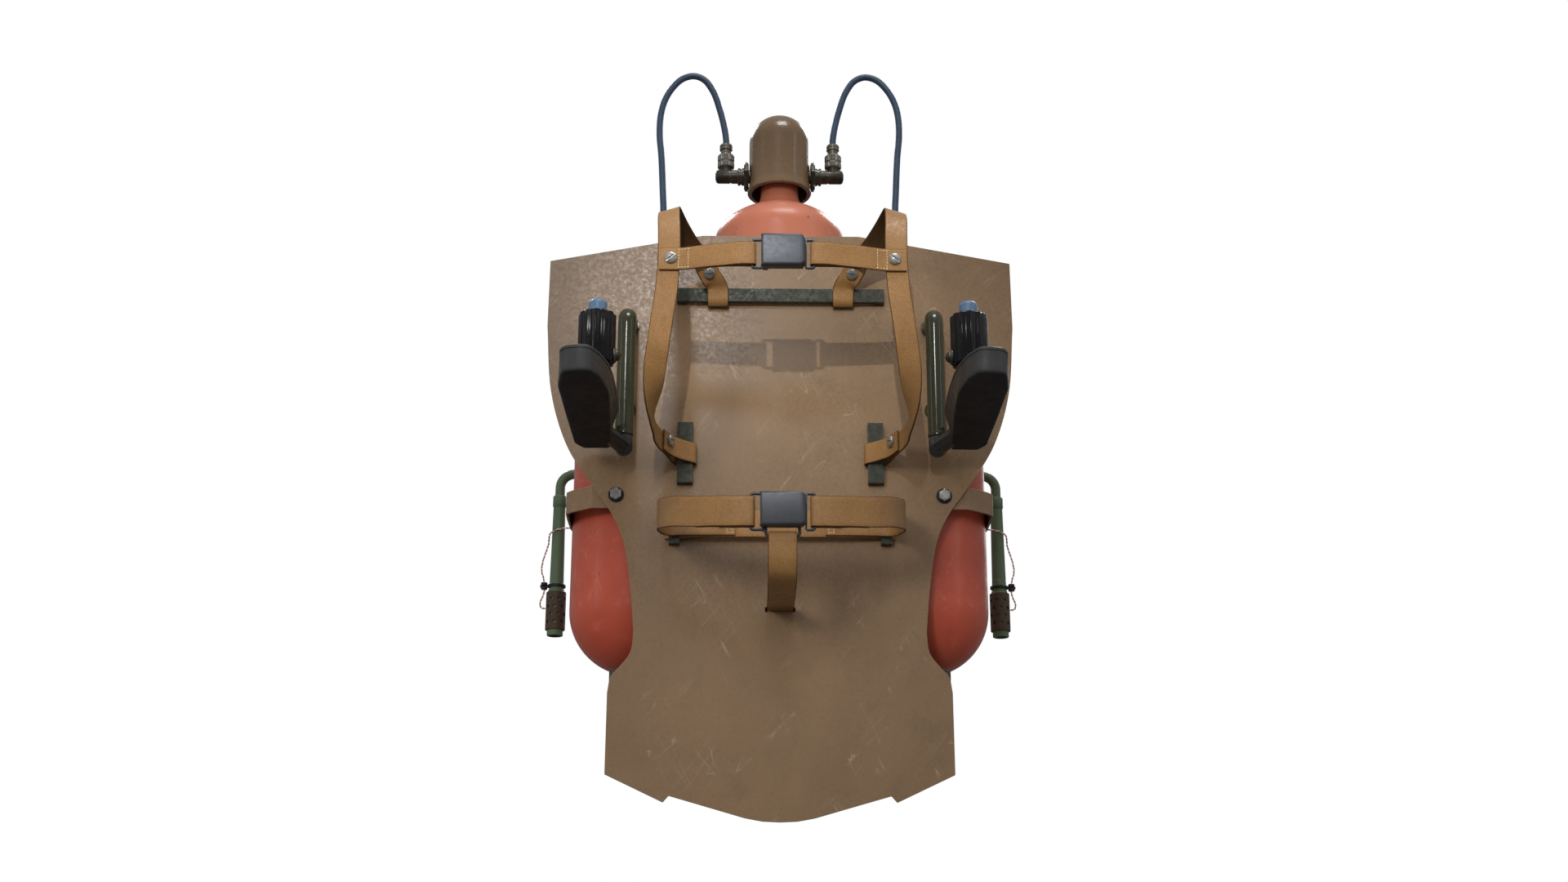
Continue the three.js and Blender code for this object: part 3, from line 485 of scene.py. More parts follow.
def painted_steel(name, colour, roughness, wear=(0.26, 0.20, 0.15), blotch=0.10, coat=0.0, scratch=0.45,
                  shine=0.25, grain=0.014):
    """Paint on steel: clouds, dark stains and specks, pale scratches, worn edges and an uneven gloss."""
    p = Paint(name, roughness, 0.0, Coat_Weight=coat, Coat_Roughness=0.12, Specular_IOR_Level=shine)
    dark = [c * (1 - blotch) for c in colour]
    light = [min(1, c * (1 + blotch)) for c in colour]
    cloud = p.span(p.noise(5, 6, 0.62, 0.6), 0.32, 0.68)
    base = p.mix(cloud, dark, light)
    grime = p.span(p.noise(15, 9, 0.74, 0.2), 0.53, 0.70, 0.0, 0.42)
    base = p.mix(grime, base, (colour[0] * 0.58, colour[1] * 0.66, colour[2] * 0.68))
    spots = p.span(p.noise(150, 5, 0.7, 0.5), 0.62, 0.68)
    stain = p.times(spots, p.span(p.noise(11, 3), 0.5, 0.62))
    base = p.mix(p.times(stain, 0.6), base, [c * 0.35 for c in colour])
    specks = p.span(p.noise(420, 2, 0.5), 0.67, 0.72, 0.0, 0.5)
    base = p.mix(specks, base, [c * 0.4 for c in colour])
    marks = p.scratches()
    base = p.mix(p.times(marks, scratch), base, wear)
    base = p.mix(p.times(p.edges(1.1), 0.35), base, wear)
    p.colour(base)
    gloss = p.span(p.noise(190, 5, 0.7, 0.5), 0.38, 0.62, roughness - 0.06, roughness + 0.08)
    p.feed("Roughness", gloss)
    p.bump(p.noise(650, 2, 0.6), grain, 0.8)
    p.bump(marks, 0.02, 0.5)
    return p.mat


def red_enamel(name, low, high):
    p = Paint(name, 0.36, 0.0, Coat_Weight=0.1, Coat_Roughness=0.2, Specular_IOR_Level=0.35)
    cloud = p.span(p.noise(9, 5, 0.6, 0.4), 0.3, 0.7)
    base = p.mix(cloud, low, high)
    fade = p.span(p.noise(55, 6, 0.7), 0.58, 0.76, 0.0, 0.35)
    base = p.mix(fade, base, (0.55, 0.17, 0.12))
    chips = p.span(p.noise(75, 3, 0.55, 0.3), 0.715, 0.74, 0.0, 0.8)
    base = p.mix(chips, base, (0.16, 0.02, 0.015))
    marks = p.scratches(55, 0.009, 0.6)
    base = p.mix(p.times(marks, 0.35), base, (0.66, 0.26, 0.2))
    p.colour(base)
    p.feed("Roughness", p.span(p.noise(45, 5, 0.65), 0.35, 0.65, 0.27, 0.5))
    p.bump(p.noise(420, 2, 0.6), 0.006, 0.6)
    p.bump(chips, -0.04, 0.6)
    return p.mat


def metal(name, colour, roughness, dirt=0.5, bright=None, edge=1.0, grain=700, depth=0.003):
    """Bare metal: a fine grain, tarnish in patches and bright worn edges."""
    p = Paint(name, roughness, 0.75)
    tarnish = p.span(p.noise(120, 6, 0.7, 0.4), 0.42, 0.66, 0.0, dirt)
    base = p.mix(tarnish, colour, [c * 0.35 for c in colour])
    if bright:
        base = p.mix(p.edges(edge, 0.01, 0.10), base, bright)
    p.colour(base)
    p.feed("Roughness", p.span(p.noise(160, 5, 0.7), 0.35, 0.68, roughness - 0.04, roughness + 0.3 * dirt))
    p.bump(p.noise(grain, 2, 0.6), depth, 0.7)
    return p.mat


def mottled_steel():
    p = Paint("mottled_steel", 0.42, 0.15, Specular_IOR_Level=0.3)
    cloud = p.span(p.noise(150, 7, 0.75, 0.6), 0.40, 0.62)
    base = p.mix(cloud, (0.022, 0.023, 0.017), (0.050, 0.052, 0.039))
    pale = p.span(p.noise(330, 3, 0.6), 0.62, 0.74, 0.0, 0.4)
    base = p.mix(pale, base, (0.11, 0.115, 0.095))
    base = p.mix(p.times(p.edges(0.8), 0.5), base, (0.22, 0.22, 0.19))
    p.colour(base)
    p.feed("Roughness", p.span(p.noise(210, 5, 0.7), 0.36, 0.64, 0.26, 0.62))
    p.bump(p.noise(500, 3, 0.7), 0.012, 0.9)
    return p.mat


def leather():
    """Grained tan leather: pebbled relief, darker creases and colour that varies along the strap."""
    p = Paint("leather", 0.5, 0.0, Specular_IOR_Level=0.35)
    cloud = p.span(p.noise(22, 5, 0.65, 0.5), 0.32, 0.68)
    base = p.mix(cloud, (0.185, 0.089, 0.027), (0.265, 0.134, 0.044))
    pebble = p.cells(620, p.node("ShaderNodeVectorMath", {0: p.coords, 1: p.node(
        "ShaderNodeVectorMath", {0: p.noise(500, 2, 0.5), 3: 0.0012}, operation="SCALE")}, operation="ADD"))
    base = p.mix(p.span(pebble, 0.25, 0.75, 0.0, 0.55), base, (0.10, 0.042, 0.011))
    grain = p.span(p.noise(1300, 3, 0.7), 0.3, 0.7)
    base = p.mix(p.times(grain, 0.34), base, (0.50, 0.29, 0.11))
    stain = p.span(p.noise(60, 6, 0.7), 0.6, 0.78, 0.0, 0.4)
    base = p.mix(stain, base, (0.14, 0.06, 0.02))
    p.colour(base)
    p.feed("Roughness", p.span(p.noise(170, 5, 0.7, 0.4), 0.36, 0.66, 0.36, 0.66))
    p.bump(p.span(pebble, 0.1, 0.9), -0.07, 0.8)
    p.bump(p.noise(1100, 3, 0.6), 0.02, 0.6)
    p.bump(p.noise(90, 3, 0.5), 0.08, 0.5)
    return p.mat


def raw_and_shaded_leather(name, low, high):
    """The fibrous cut edge of the hide, and the strap's back made dark as painted shade."""
    p = Paint(name, 0.75, 0.0, Specular_IOR_Level=0.2)
    p.colour(p.mix(p.span(p.noise(500, 5, 0.7), 0.35, 0.65), low, high))
    p.bump(p.noise(900, 4, 0.7), 0.04, 0.8)
    return p.mat


def thread():
    p = Paint("waxed_thread", 0.55)
    p.colour(p.mix(p.span(p.noise(800, 3, 0.6), 0.35, 0.65), (0.42, 0.30, 0.17), (0.74, 0.62, 0.45)))
    twist = p.node("ShaderNodeTexWave", {"Vector": p.coords, "Scale": 900.0, "Distortion": 1.0}, 1)
    p.bump(twist, 0.06, 0.7)
    return p.mat


def rubber(name, low, high, roughness, grain=650, depth=0.02, specular=0.4):
    """Moulded rubber or plastic: a fine grain, faint clouds and dusty wear."""
    p = Paint(name, roughness, 0.0, Specular_IOR_Level=specular)
    cloud = p.span(p.noise(30, 5, 0.65, 0.3), 0.35, 0.65)
    base = p.mix(cloud, low, high)
    dust = p.span(p.noise(240, 6, 0.72), 0.56, 0.76, 0.0, 0.3)
    base = p.mix(dust, base, [min(1, c * 1.9 + 0.01) for c in high])
    p.colour(base)
    p.feed("Roughness", p.span(p.noise(90, 5, 0.65), 0.35, 0.65, roughness - 0.07, roughness + 0.1))
    p.bump(p.noise(grain, 3, 0.6), depth, 0.7)
    return p.mat


BROWN = painted_steel("brown_paint", (0.188, 0.1195, 0.067), 0.27, wear=(0.34, 0.27, 0.20), blotch=0.13,
                      scratch=0.65)
GUARD_BROWN = painted_steel("guard_paint", (0.150, 0.094, 0.050), 0.26, coat=0.4, scratch=0.3, grain=0.003)
RED = red_enamel("red_enamel", (0.33, 0.050, 0.026), (0.41, 0.072, 0.038))
# Lighter red for the main cylinder: partly faded paint, partly painted sheen standing in for the haze that
# light from above gives its dome.
FADED_SHEEN_RED = red_enamel("faded_red_enamel_painted_sheen", (0.37, 0.108, 0.060), (0.44, 0.142, 0.082))
MOTTLED = mottled_steel()
GUNMETAL = metal("gunmetal", (0.075, 0.067, 0.053), 0.34, 0.5, (0.42, 0.40, 0.35), edge=0.4)
WORN_METAL = metal("worn_gunmetal", (0.22, 0.205, 0.175), 0.32, 0.6, (0.55, 0.53, 0.47), edge=0.4)
ZINC = metal("zinc", (0.44, 0.44, 0.42), 0.30, 0.5, (0.6, 0.6, 0.57), edge=0.35)
BUCKLE = metal("buckle_steel", (0.085, 0.09, 0.10), 0.36, 0.12, (0.24, 0.25, 0.27), 0.9, 900, 0.0006)
BLACK = rubber("black_rubber", (0.008, 0.008, 0.009), (0.016, 0.016, 0.017), 0.5)
HOSE = rubber("blue_hose", (0.028, 0.055, 0.105), (0.042, 0.078, 0.135), 0.42, 900, 0.01)
GREEN = painted_steel("green_paint", (0.085, 0.125, 0.072), 0.42, (0.2, 0.24, 0.17), 0.15, scratch=0.25,
                      grain=0.006)
# Dark brown paint of the vent sleeves; inside the valve guard the same paint stands in for painted shade.
DARK_BROWN_AND_SHADE = painted_steel("dark_brown_paint_and_shade", (0.055, 0.033, 0.022), 0.5, (0.14, 0.1, 0.07), 0.2)
OLIVE = painted_steel("olive_enamel", (0.026, 0.027, 0.013), 0.16, (0.13, 0.13, 0.08), 0.2, 0.35, 0.2, 0.3,
                      0.0004)
PAD = rubber("grey_rubber", (0.028, 0.029, 0.030), (0.040, 0.041, 0.043), 0.5, 700, 0.02)
# Painted shade: a darker, duller copy of the pad's grey rubber for the pad's underside.
PAD_UNDER_SHADE = rubber("grey_rubber_painted_shade", (0.022, 0.022, 0.023), (0.032, 0.032, 0.032), 0.6, 700, 0.02, 0.1)
ELBOW_GREY = rubber("elbow_grey", (0.022, 0.024, 0.024), (0.034, 0.036, 0.036), 0.2, 500, 0.003, 0.5)
GLOSS = rubber("gloss_plastic", (0.004, 0.004, 0.005), (0.007, 0.007, 0.008), 0.16, 300, 0.0001, 0.25)
BLUE = rubber("blue_plastic", (0.068, 0.125, 0.21), (0.088, 0.155, 0.255), 0.36, 700, 0.01)
HIDE = leather()
HIDE_EDGE = raw_and_shaded_leather("leather_edge", (0.045, 0.019, 0.007), (0.12, 0.055, 0.02))
# Painted shade: the back of a strap where it faces away from the light.
SHADED_HIDE_BACK = raw_and_shaded_leather("leather_back_painted_shade", (0.055, 0.028, 0.010), (0.10, 0.052, 0.020))
THREAD = thread()
PINK = rubber("pink_wire", (0.30, 0.07, 0.075), (0.42, 0.12, 0.12), 0.4)
WHITE = rubber("white_wire", (0.52, 0.50, 0.46), (0.66, 0.63, 0.58), 0.4)
STRAP = [HIDE, HIDE_EDGE, THREAD, SHADED_HIDE_BACK]


# ---------- load plate, bars and cradle ----------
def load_plate():
    side = [
        (290.5, 610), (283, 525), (262, 456), (228, 401.5), (203, 366), (188, 330), (179, 275), (174, 222)]
    hip = [(174, 222), (177, 198), (190, 180), (199.5, 169), (203, 150)]
    foot = [(203.3, 54.5), (135.5, 22.5), (128.7, 30), (40, 4.5), (20, 0.9), (0, 0)]
    bend = lambda pts: [tuple(p[:2]) for p in curve([(x, y, 0) for x, y in pts], 6, 0.0)]
    half = [(99, 734), (290, 698)] + bend(side) + bend(hip)[1:] + foot
    outline = half + [(-x, z) for x, z in reversed(half[:-1])]
    holes = [rod((x, -5, BOLT_Z), (x, 9, BOLT_Z), BOLT_HOLE_R, 0.1) for x in (BOLT_X, -BOLT_X)]
    slot = block(-18, 18, -5, 9, SLOT_Z - 3, SLOT_Z + 3)
    return carve(prism(outline, 0, 3), slot, *holes)


def cradle():
    half, top, hoop_low, hoop_high, hoop = 201.5, SHELF_TOP, 560, 586, MAIN["r"] + 0.4
    out = block(-half, half, 3.4, 7.4, 118, top) + block(-half, half, 4.4, 140, top - 4, top)
    rim = [(hoop, hoop_low), (hoop + 3, hoop_low), (hoop + 3, hoop_high), (hoop, hoop_high), (hoop, hoop_low)]
    out += lathe(rim, (0, MAIN["y"], 0), sides=96)
    for x in (-62, 62):
        out += block(x - 11, x + 11, 3.4, 7.4, 150, hoop_high)
        out += block(x - 2, x + 2, 5.4, 42, hoop_low, hoop_high)
        out += block(x - 2, x + 2, 5.4, 30, top - 2, top + 40)
    for c, x in ((MAIN, MAIN["x"]), (SIDE, SIDE["x"]), (SIDE, -SIDE["x"])):
        bowl = [(r, c["base"] - math.sqrt((c["r"] + 0.4) ** 2 - r ** 2)) for r in (19, 15, 10, 5, 0)]
        out += lathe([(0, top - 2), (19, top - 2)] + bowl, (x, c["y"], 0))
    return out


def clamp_band():
    r, y, thick = SIDE["r"] + 1.9, 4.9, 3
    x, cy = SIDE["x"], SIDE["y"]
    outer = [(-184, y), (-214, y), (-228, y), (-254, 25), (-261, 34), (x - r, 60)]
    inner = [(x + r, 60), (x + r, 24), (-102, 11), (-108, y), (-130, y)]
    corner = lambda pts: [tuple(v)[:2] for v in rounded([(a, b, 0) for a, b in pts], 3.2, 4)]
    path = corner(outer) + arc(x, cy, r, r, 180, 0, 48) + corner(inner)
    rings = []
    for p, _, side, _ in frames([(a, b, 389.5) for a, b in path]):
        across = side.normalized() * thick / 2
        rings.append([p + across + UP * 14, p - across + UP * 14, p - across - UP * 14, p + across - UP * 14])
    return carve(loft(rings), rod((BOLT_X, -5, BOLT_Z), (BOLT_X, 20, BOLT_Z), BOLT_HOLE_R, 0.1))


def clamp_bolt():
    at = lambda y: (BOLT_X, y, BOLT_Z)
    turns = [(4 if i % 2 else 3.55, 0.3 + i * 0.5) for i in range(30)]
    thread_profile = [(0, 0)] + turns + [(3.2, 15.6), (0, 15.6)]
    washer = rod(at(-2), at(-0.4), 9.4, 0.4, 48, slot=1)
    head = hexagon(at(-7.4), at(-1.9), 13)
    dish = lathe([(0, 0), (4.6, 0), (4.2, 0.5), (0, 0.6)], at(-7.9), (0, 1, 0), slot=0)
    nut = hexagon(at(7.1), at(13.1), 13)
    return washer + head + dish + nut + lathe(thread_profile, at(-0.5), (0, 1, 0), 24)


piece("load_plate", load_plate(), BROWN, bevel=0.5)
for bar in ("shoulder_bar", "left_side_bar", "right_side_bar", "left_waist_bar", "right_waist_bar"):
    dressed(bar, MOTTLED, 0.7)
piece("cylinder_cradle", cradle(), MOTTLED, bevel=0.5)
pair("clamp_band", clamp_band(), BROWN, bevel=0.5)
pair("clamp_bolt", clamp_bolt(), [ZINC, BLACK])


# ---------- cylinders, valves and hoses ----------
def cylinder(c):
    crown = c["shoulder"] + c["dome"]
    neck = c["neck"]
    profile = arc(0, c["base"], c["r"], c["r"], -90, 0, 24)
    profile += arc(0, c["shoulder"], c["r"], c["dome"], 0, 58, 20)
    start = profile[-1]
    run = [(*start, 0), (neck + 12, crown - 3.6, 0), (neck + 5, crown + 3, 0), (neck + 1.6, crown + 11, 0),
           (neck, crown + 19, 0)]
    profile += [tuple(p[:2]) for p in curve(run, 2.5)][1:]
    profile += [(neck, c["top"] - 1), (neck - 1, c["top"]), (11, c["top"]), (11, c["top"] - 14),
                (0, c["top"] - 14)]
    return lathe(profile, (c["x"], c["y"], 0), sides=96)


def valve_guard():
    inner = GUARD_R - 3.5
    shell = [(inner, 841), (GUARD_R + 1.2, 841), (GUARD_R + 2.2, 842), (GUARD_R + 2.2, 845),
             (GUARD_R + 0.6, 850), (GUARD_R, 856)]
    shell += arc(0, GUARD_DOME_Z, GUARD_R, GUARD_R, 0, 90, 20)
    shell += arc(0, GUARD_DOME_Z, inner, inner, 90, 0, 14) + [(inner, 841)]
    shell = [(max(r, 0), z) for r, z in shell]
    cap = lathe(shell, (0, MAIN["y"], 0), sides=96)
    cap = carve(cap, rod((-60, MAIN["y"], PORT_Z), (60, MAIN["y"], PORT_Z), 10.5, 0.1, 48))
    # Faces inside the guard take the dark paint as painted shade.
    for i, face in enumerate(cap.faces):
        corners = [cap.verts[v] for v in face]
        reach = max(math.dist(p, (0, MAIN["y"], min(p.z, GUARD_DOME_Z))) for p in corners)
        cap.slots[i] = 1 if reach < inner + 0.2 else 0
    return cap


def main_valve():
    profile = [(0, 843), (10.4, 843), (10.4, 856.4), (23, 856.4), (25, 858), (26, 860), (26, 883),
               (25, 885), (18, 892), (12.6, 892), (12, 893), (12, 905), (11, 906), (0, 906)]
    return lathe(profile, (0, MAIN["y"], 0), sides=64)


def knurled(count, depth):
    return lambda a, r: r - depth * (0.5 + 0.5 * math.cos(count * a)) if r > 10.4 else r


def hose_elbow():
    along = lambda x: (-x, MAIN["y"], PORT_Z)
    up = lambda z: (-72, MAIN["y"], z)
    out = rod(along(27.5), along(60), 9) + hexagon(along(41.3), along(47.6), 34)
    ring = [(0, 0), (11, 0), (11.8, 0.8), (11.8, 3.4), (10.6, 4), (10.6, 5.2), (11.8, 5.8), (11.8, 8.2),
            (11, 9), (0, 9)]
    out += lathe(ring, along(47), (-1, 0, 0))
    barrel = [(0, 0), (8.4, 0), (9.2, 0.8), (9.2, 9), (8.5, 9.6), (8.5, 11), (9.2, 11.6), (9.2, 27.4),
              (7.4, 30), (0, 30)]
    out += lathe(barrel, along(55), (-1, 0, 0))
    out += lathe([(0, 0), (5.2, 0), (4.6, 0.9), (0, 0.5)], along(85), (-1, 0, 0), 24)
    out += lathe([(0, 0), (8.9, 0), (8.9, 14), (8.2, 17), (0, 17)], up(PORT_Z - 1), (0, 0, 1))
    collar = [(0, 0), (10, 0), (10.5, 0.6), (11.2, 1.4), (11.2, 7), (10.45, 7.5), (10.3, 8.6), (10.45, 9.7),
              (11.2, 10.2), (11.2, 17.6), (10.5, 18.4), (10, 19), (0, 19)]
    out += lathe(collar, up(879), (0, 0, 1), 144, knurled(36, 0.5), slot=1)
    return out + lathe([(0, 0), (6.5, 0), (6.5, 4), (7, 4.4), (7, 8), (0, 8)], up(897), (0, 0, 1), slot=1)


def hose():
    y = MAIN["y"]
    course = [
        (-72, 906), (-72, 921), (-75, 942), (-81, 967), (-90, 994), (-102.5, 1012.5), (-116.5, 1018.5),
        (-132.5, 1014), (-147, 998.5), (-156.7, 979), (-161.3, 957), (-162, 929), (-159, 897), (-156, 843),
        (-154.7, 816), (-156, 765), (-165, 720), (-175, 692), (-180.5, 672.5)]
    swing = len(course) - 4
    back = lambda i: 0 if i < swing else (SIDE["y"] - y) * (i - swing) / 3
    path = [(x, y + back(i), z) for i, (x, z) in enumerate(course)]
    ferrule = [(0, 905.4), (7.6, 905.4), (8.6, 906.2), (8.6, 908.4), (7.7, 908.9), (7.7, 909.8),
               (8.6, 910.3), (8.6, 912.6), (7.4, 914.2), (5.6, 915), (0, 915)]
    out = tube(curve(path, 4), 4.4, 24) + lathe(ferrule, (-72, y, 0), slot=1)
    low = (SIDE["x"], SIDE["y"])
    out += hexagon((*low, 670.5), (*low, 679), 17.6, slot=1)
    return out + rod((*low, 678.5), (*low, 686), 6.6, 1, slot=1)


def side_valve():
    x, y = SIDE["x"], SIDE["y"]
    at = lambda dx, dy, z: (x + dx, y + dy, z)
    top = SIDE["top"] + 0.4
    body = [(0, top - 13), (10.4, top - 13), (10.4, top), (16, top), (17, top + 1), (17, 660.6),
            (15.6, 662), (9.8, 663.4), (9, 664.4), (9, 669.2), (8.2, 670), (0, 670)]
    out = lathe(body, (x, y, 0)) + rod(at(0, 0, VALVE_Z), at(0, 27.8, VALVE_Z), 10)
    out += hexagon(at(-14, 0, VALVE_Z), at(-23, 0, VALVE_Z), 20)
    out += rod(at(-22, 0, VALVE_Z), at(-27, 0, VALVE_Z), 8)
    out += rod(at(-20, 0, VALVE_Z), at(-47, 0, VALVE_Z), 4.6)
    return out + hexagon(at(-45.4, 0, VALVE_Z), at(-48.4, 0, VALVE_Z), 13)


def handwheel():
    rim = [(6.8, 0), (11, 0), (12, 1), (13, 3), (18, 3), (19, 1), (20, 0), (22.6, 0), (23.7, 0.8),
           (24.2, 2.4), (24.2, 13.6), (23.7, 15.2), (22.6, 16), (20, 16), (19, 15), (18, 13), (13, 13),
           (12, 15), (11, 16), (6.8, 16), (6.8, 0)]
    lobed = lambda a, r: r + (1.8 * math.cos(8 * a) if r > 19.5 else 0)
    return lathe(rim, (-209, SIDE["y"], VALVE_Z), (-1, 0, 0), 128, lobed)


def outlet_pipe():
    start = (SIDE["x"], SIDE["y"] + 28.4, VALVE_Z)
    route = rounded([start, (SIDE["x"], PIPE_Y, VALVE_Z), (SIDE["x"], PIPE_Y, 474), (PIPE_X, PIPE_Y, 474),
                     (PIPE_X, PIPE_Y, 436)], 19, 12)
    barrel = [
        (0, 300), (7.6, 300), (7.6, 257), (9.8, 257), (10.3, 257.6), (10.3, 317), (9.6, 318), (9.1, 319.5),
        (9.1, 327), (7.9, 426), (7.9, 428.4), (8.5, 429.4), (8.8, 430), (8.8, 442.4), (8.1, 443.4),
        (6.4, 443.6), (0, 443.6)]
    out = tube(route, 6.3, 24) + lathe(barrel, (PIPE_X, PIPE_Y, 0))
    return out + hexagon(start, (start[0], start[1] + 12, start[2]), 20.8, slot=1)


def vent_sleeve():
    low, high = 264.5, 314
    wall = [(10.8, low), (12.4, low), (12.8, low + 0.5), (12.8, high - 0.5), (12.4, high), (10.8, high),
            (10.8, low)]
    sleeve = lathe(wall, (PIPE_X, PIPE_Y, 0), sides=64)
    drills = []
    for row in range(4):
        for k in range(8):
            a = (k + (row % 2) / 2) * math.pi / 4
            z = low + 9.5 + row * 10
            reach = lambda r: (PIPE_X + r * math.cos(a), PIPE_Y + r * math.sin(a), z)
            drills.append(rod(reach(9), reach(15), 2.3, 0.1, 14))
    return carve(sleeve, *drills)


def cable():
    """Two thin wires twisted together, and the black clip that holds them to the outlet pipe."""
    points = [
        (-237, 167, 396), (-262, 174, 397), (-286, 177, 396), (-297, 181, 391), (-299.5, 187, 378),
        (-306, 188, 355), (-307, 188, 343), (-303.5, 188, 330), (-303, 188, 314), (-307.5, 188, 299),
        (-305, 188, 293.5), (-300.2, 188, 293)]
    line = frames(curve(points, 0.9))
    out = Shape()
    for strand in (0, 1):
        path = []
        for i, (p, _, side, up) in enumerate(line):
            a = i * 0.62 + strand * math.pi
            path.append(p + side * 0.6 * math.cos(a) + up * 0.6 * math.sin(a))
        out += tube(path, 0.62, 8, slot=strand)
    ring = [(9.6, 320.5), (11.4, 320.5), (11.8, 321), (11.8, 323.5), (11.4, 324), (9.6, 324), (9.6, 320.5)]
    out += lathe(ring, (PIPE_X, PIPE_Y, 0), slot=2)
    for z in (318, 323):
        out += lathe([(0, 0), (3.6, 0), (4.2, 0.6), (4.2, 3.6), (3.6, 4.2), (0, 4.2)], (-303, 188, z), slot=2)
    out += block(-300, -296.8, 186.4, 189.6, 320.8, 323.6, slot=2)
    stub = [(0, 0), (1.6, 0), (1.9, 0.6), (1.6, 3.4), (0, 4)]
    return out + lathe(stub, (-308.2, 188, 322.3), (1, 0, 0), 16, slot=2)


piece("main_cylinder", cylinder(MAIN), FADED_SHEEN_RED)
pair("side_cylinder", cylinder(SIDE), RED)
piece("valve_guard", valve_guard(), [GUARD_BROWN, DARK_BROWN_AND_SHADE])
piece("main_valve", main_valve(), GUNMETAL)
pair("hose_elbow", hose_elbow(), [GUNMETAL, WORN_METAL])
pair("hose", hose(), [HOSE, WORN_METAL])
pair("side_valve", side_valve(), GUNMETAL)
pair("handwheel", handwheel(), BLACK, ("left_wheel", "right_wheel"))
pair("outlet_pipe", outlet_pipe(), [GREEN, GUNMETAL])
pair("vent_sleeve", vent_sleeve(), DARK_BROWN_AND_SHADE)
pair("cable", cable(), [PINK, WHITE, BLACK])


# ---------- harness ----------
SCREWS = {
    "shoulder": ((-89.9, -31, 670.4), (0.29, -0.77, -0.545), 35),
    "chest": ((-128, -206.6, 611.5), (0, -1, 0), 40),
    "side": ((-136.1, -41.3, 446.5), (0.94, -0.34, 0), 80),
    "waist": ((-71, -15.6, 352.5), (0, -1, 0), -30),
}
GRIP_LENGTH = 8.6                   # what a binding screw holds, in mm


def binding_screw(centre, towards, slot_angle):
    """A slotted pan head on a post, with the post's flange behind."""
    g = GRIP_LENGTH / 2
    head = lathe([(0, g - 1), (6.6, g - 1), (7, g), (7, g + 1.2)] + arc(0, g + 1.2, 7, 2.9, 6, 90, 8))
    head = carve(head, block(-9, 9, -1, 1, g + 1.8, g + 9))
    post = [(0, -g - 1.2), (5.2, -g - 1.2), (5.5, -g - 0.9), (5.5, -g), (2.3, -g), (2.3, g), (0, g)]
    whole = head + lathe(post)
    turn = UP.rotation_difference(Vector(towards).normalized())
    spin = math.radians(slot_angle)

    def place(v):
        c, s = math.cos(spin), math.sin(spin)
        flat = Vector((v.x * c - v.y * s, v.x * s + v.y * c, v.z))
        return turn @ flat + Vector(centre)

    return whole.mapped(place)


LEVEL = (1, 0, 0)
UPPER = (0.86, 0, 0.51)
LEANING = (0.97, 0, 0.2)
SHOULDER_PATH = [
    (-94.4, -35.7, 677, UPPER), (-90.3, -30, 671.1, UPPER), (-86.4, -24.1, 665.9, UPPER),
    (-82.4, -16, 664.6, LEANING), (-79.8, -8.4, 662.6, LEVEL), (-78.4, -3.3, 659, LEVEL),
    (-78, -2.7, 649, LEVEL), (-78, -3.3, 640, LEVEL), (-78, -8.7, 635.2, LEVEL), (-78, -14, 639.4, LEVEL),
    (-78, -14.5, 649, LEVEL), (-78.8, -16, 656, LEVEL), (-81.6, -20.9, 660.4, LEANING),
    (-85.4, -26.7, 663.9, UPPER), (-89.5, -32, 669.7, UPPER), (-96, -41, 679, UPPER),
    (-111, -62, 690, UPPER), (-124, -98, 698.5, (0.9, 0, 0.4)), (-131, -133, 700.5, (0.93, 0, 0.37)),
    (-133, -160, 694.5, (0.95, 0, 0.3)), (-132.5, -184, 675, (0.98, 0, 0.15)), (-131, -198, 648, LEVEL),
    (-130.5, -204.3, 612, LEVEL), (-132.5, -206, 575, LEVEL), (-137, -205, 540, LEVEL),
    (-141.5, -200, 506, LEVEL), (-145, -190, 480, (0.95, 0.3, 0)), (-147, -172, 459, (0.7, 0.5, 0.5)),
    (-148, -148, 447, (0.3, 0.4, 0.87)), (-149, -120, 442.5), (-148.5, -90, 442), (-143.8, -62, 442),
    (-139.2, -46, 442), (-135.2, -30, 441.5), (-131, -13.5, 441), (-127.6, -4.8, 440.5), (-122, -2.6, 440),
    (-113, -2.6, 440), (-106.5, -3.3, 440), (-103.5, -6.2, 440), (-102.9, -9.6, 440),
    (-104.6, -13.2, 440.5), (-110, -16.5, 441), (-117, -21.3, 441.5), (-124, -27.8, 442),
    (-129.5, -33.8, 442.5), (-134.2, -41.8, 443), (-139.8, -57.5, 443.5)]


def turn_round(y):
    """Half a turn of strap round a buckle's bar."""
    return arc(-FRAME_X, y, 3.5, 3.5, -90, 90, 8)


def chest_strap():
    y, z = CHEST[1:]
    path = [(-141.5, y + 15.5), (-128, y + 15.2), (-117, y + 15), (-106, y + 12.2), (-88, y + 6.4),
            (-66, y + 1.2), (-52, y - 2.6), (-43, y - 3.5)] + turn_round(y)
    path += [(-43, y + 3.5), (-53, y + 3.6), (-68, y + 4.5), (-88, y + 9.1)]
    return Strap([(a, b, z) for a, b in path], CHEST_WIDTH)


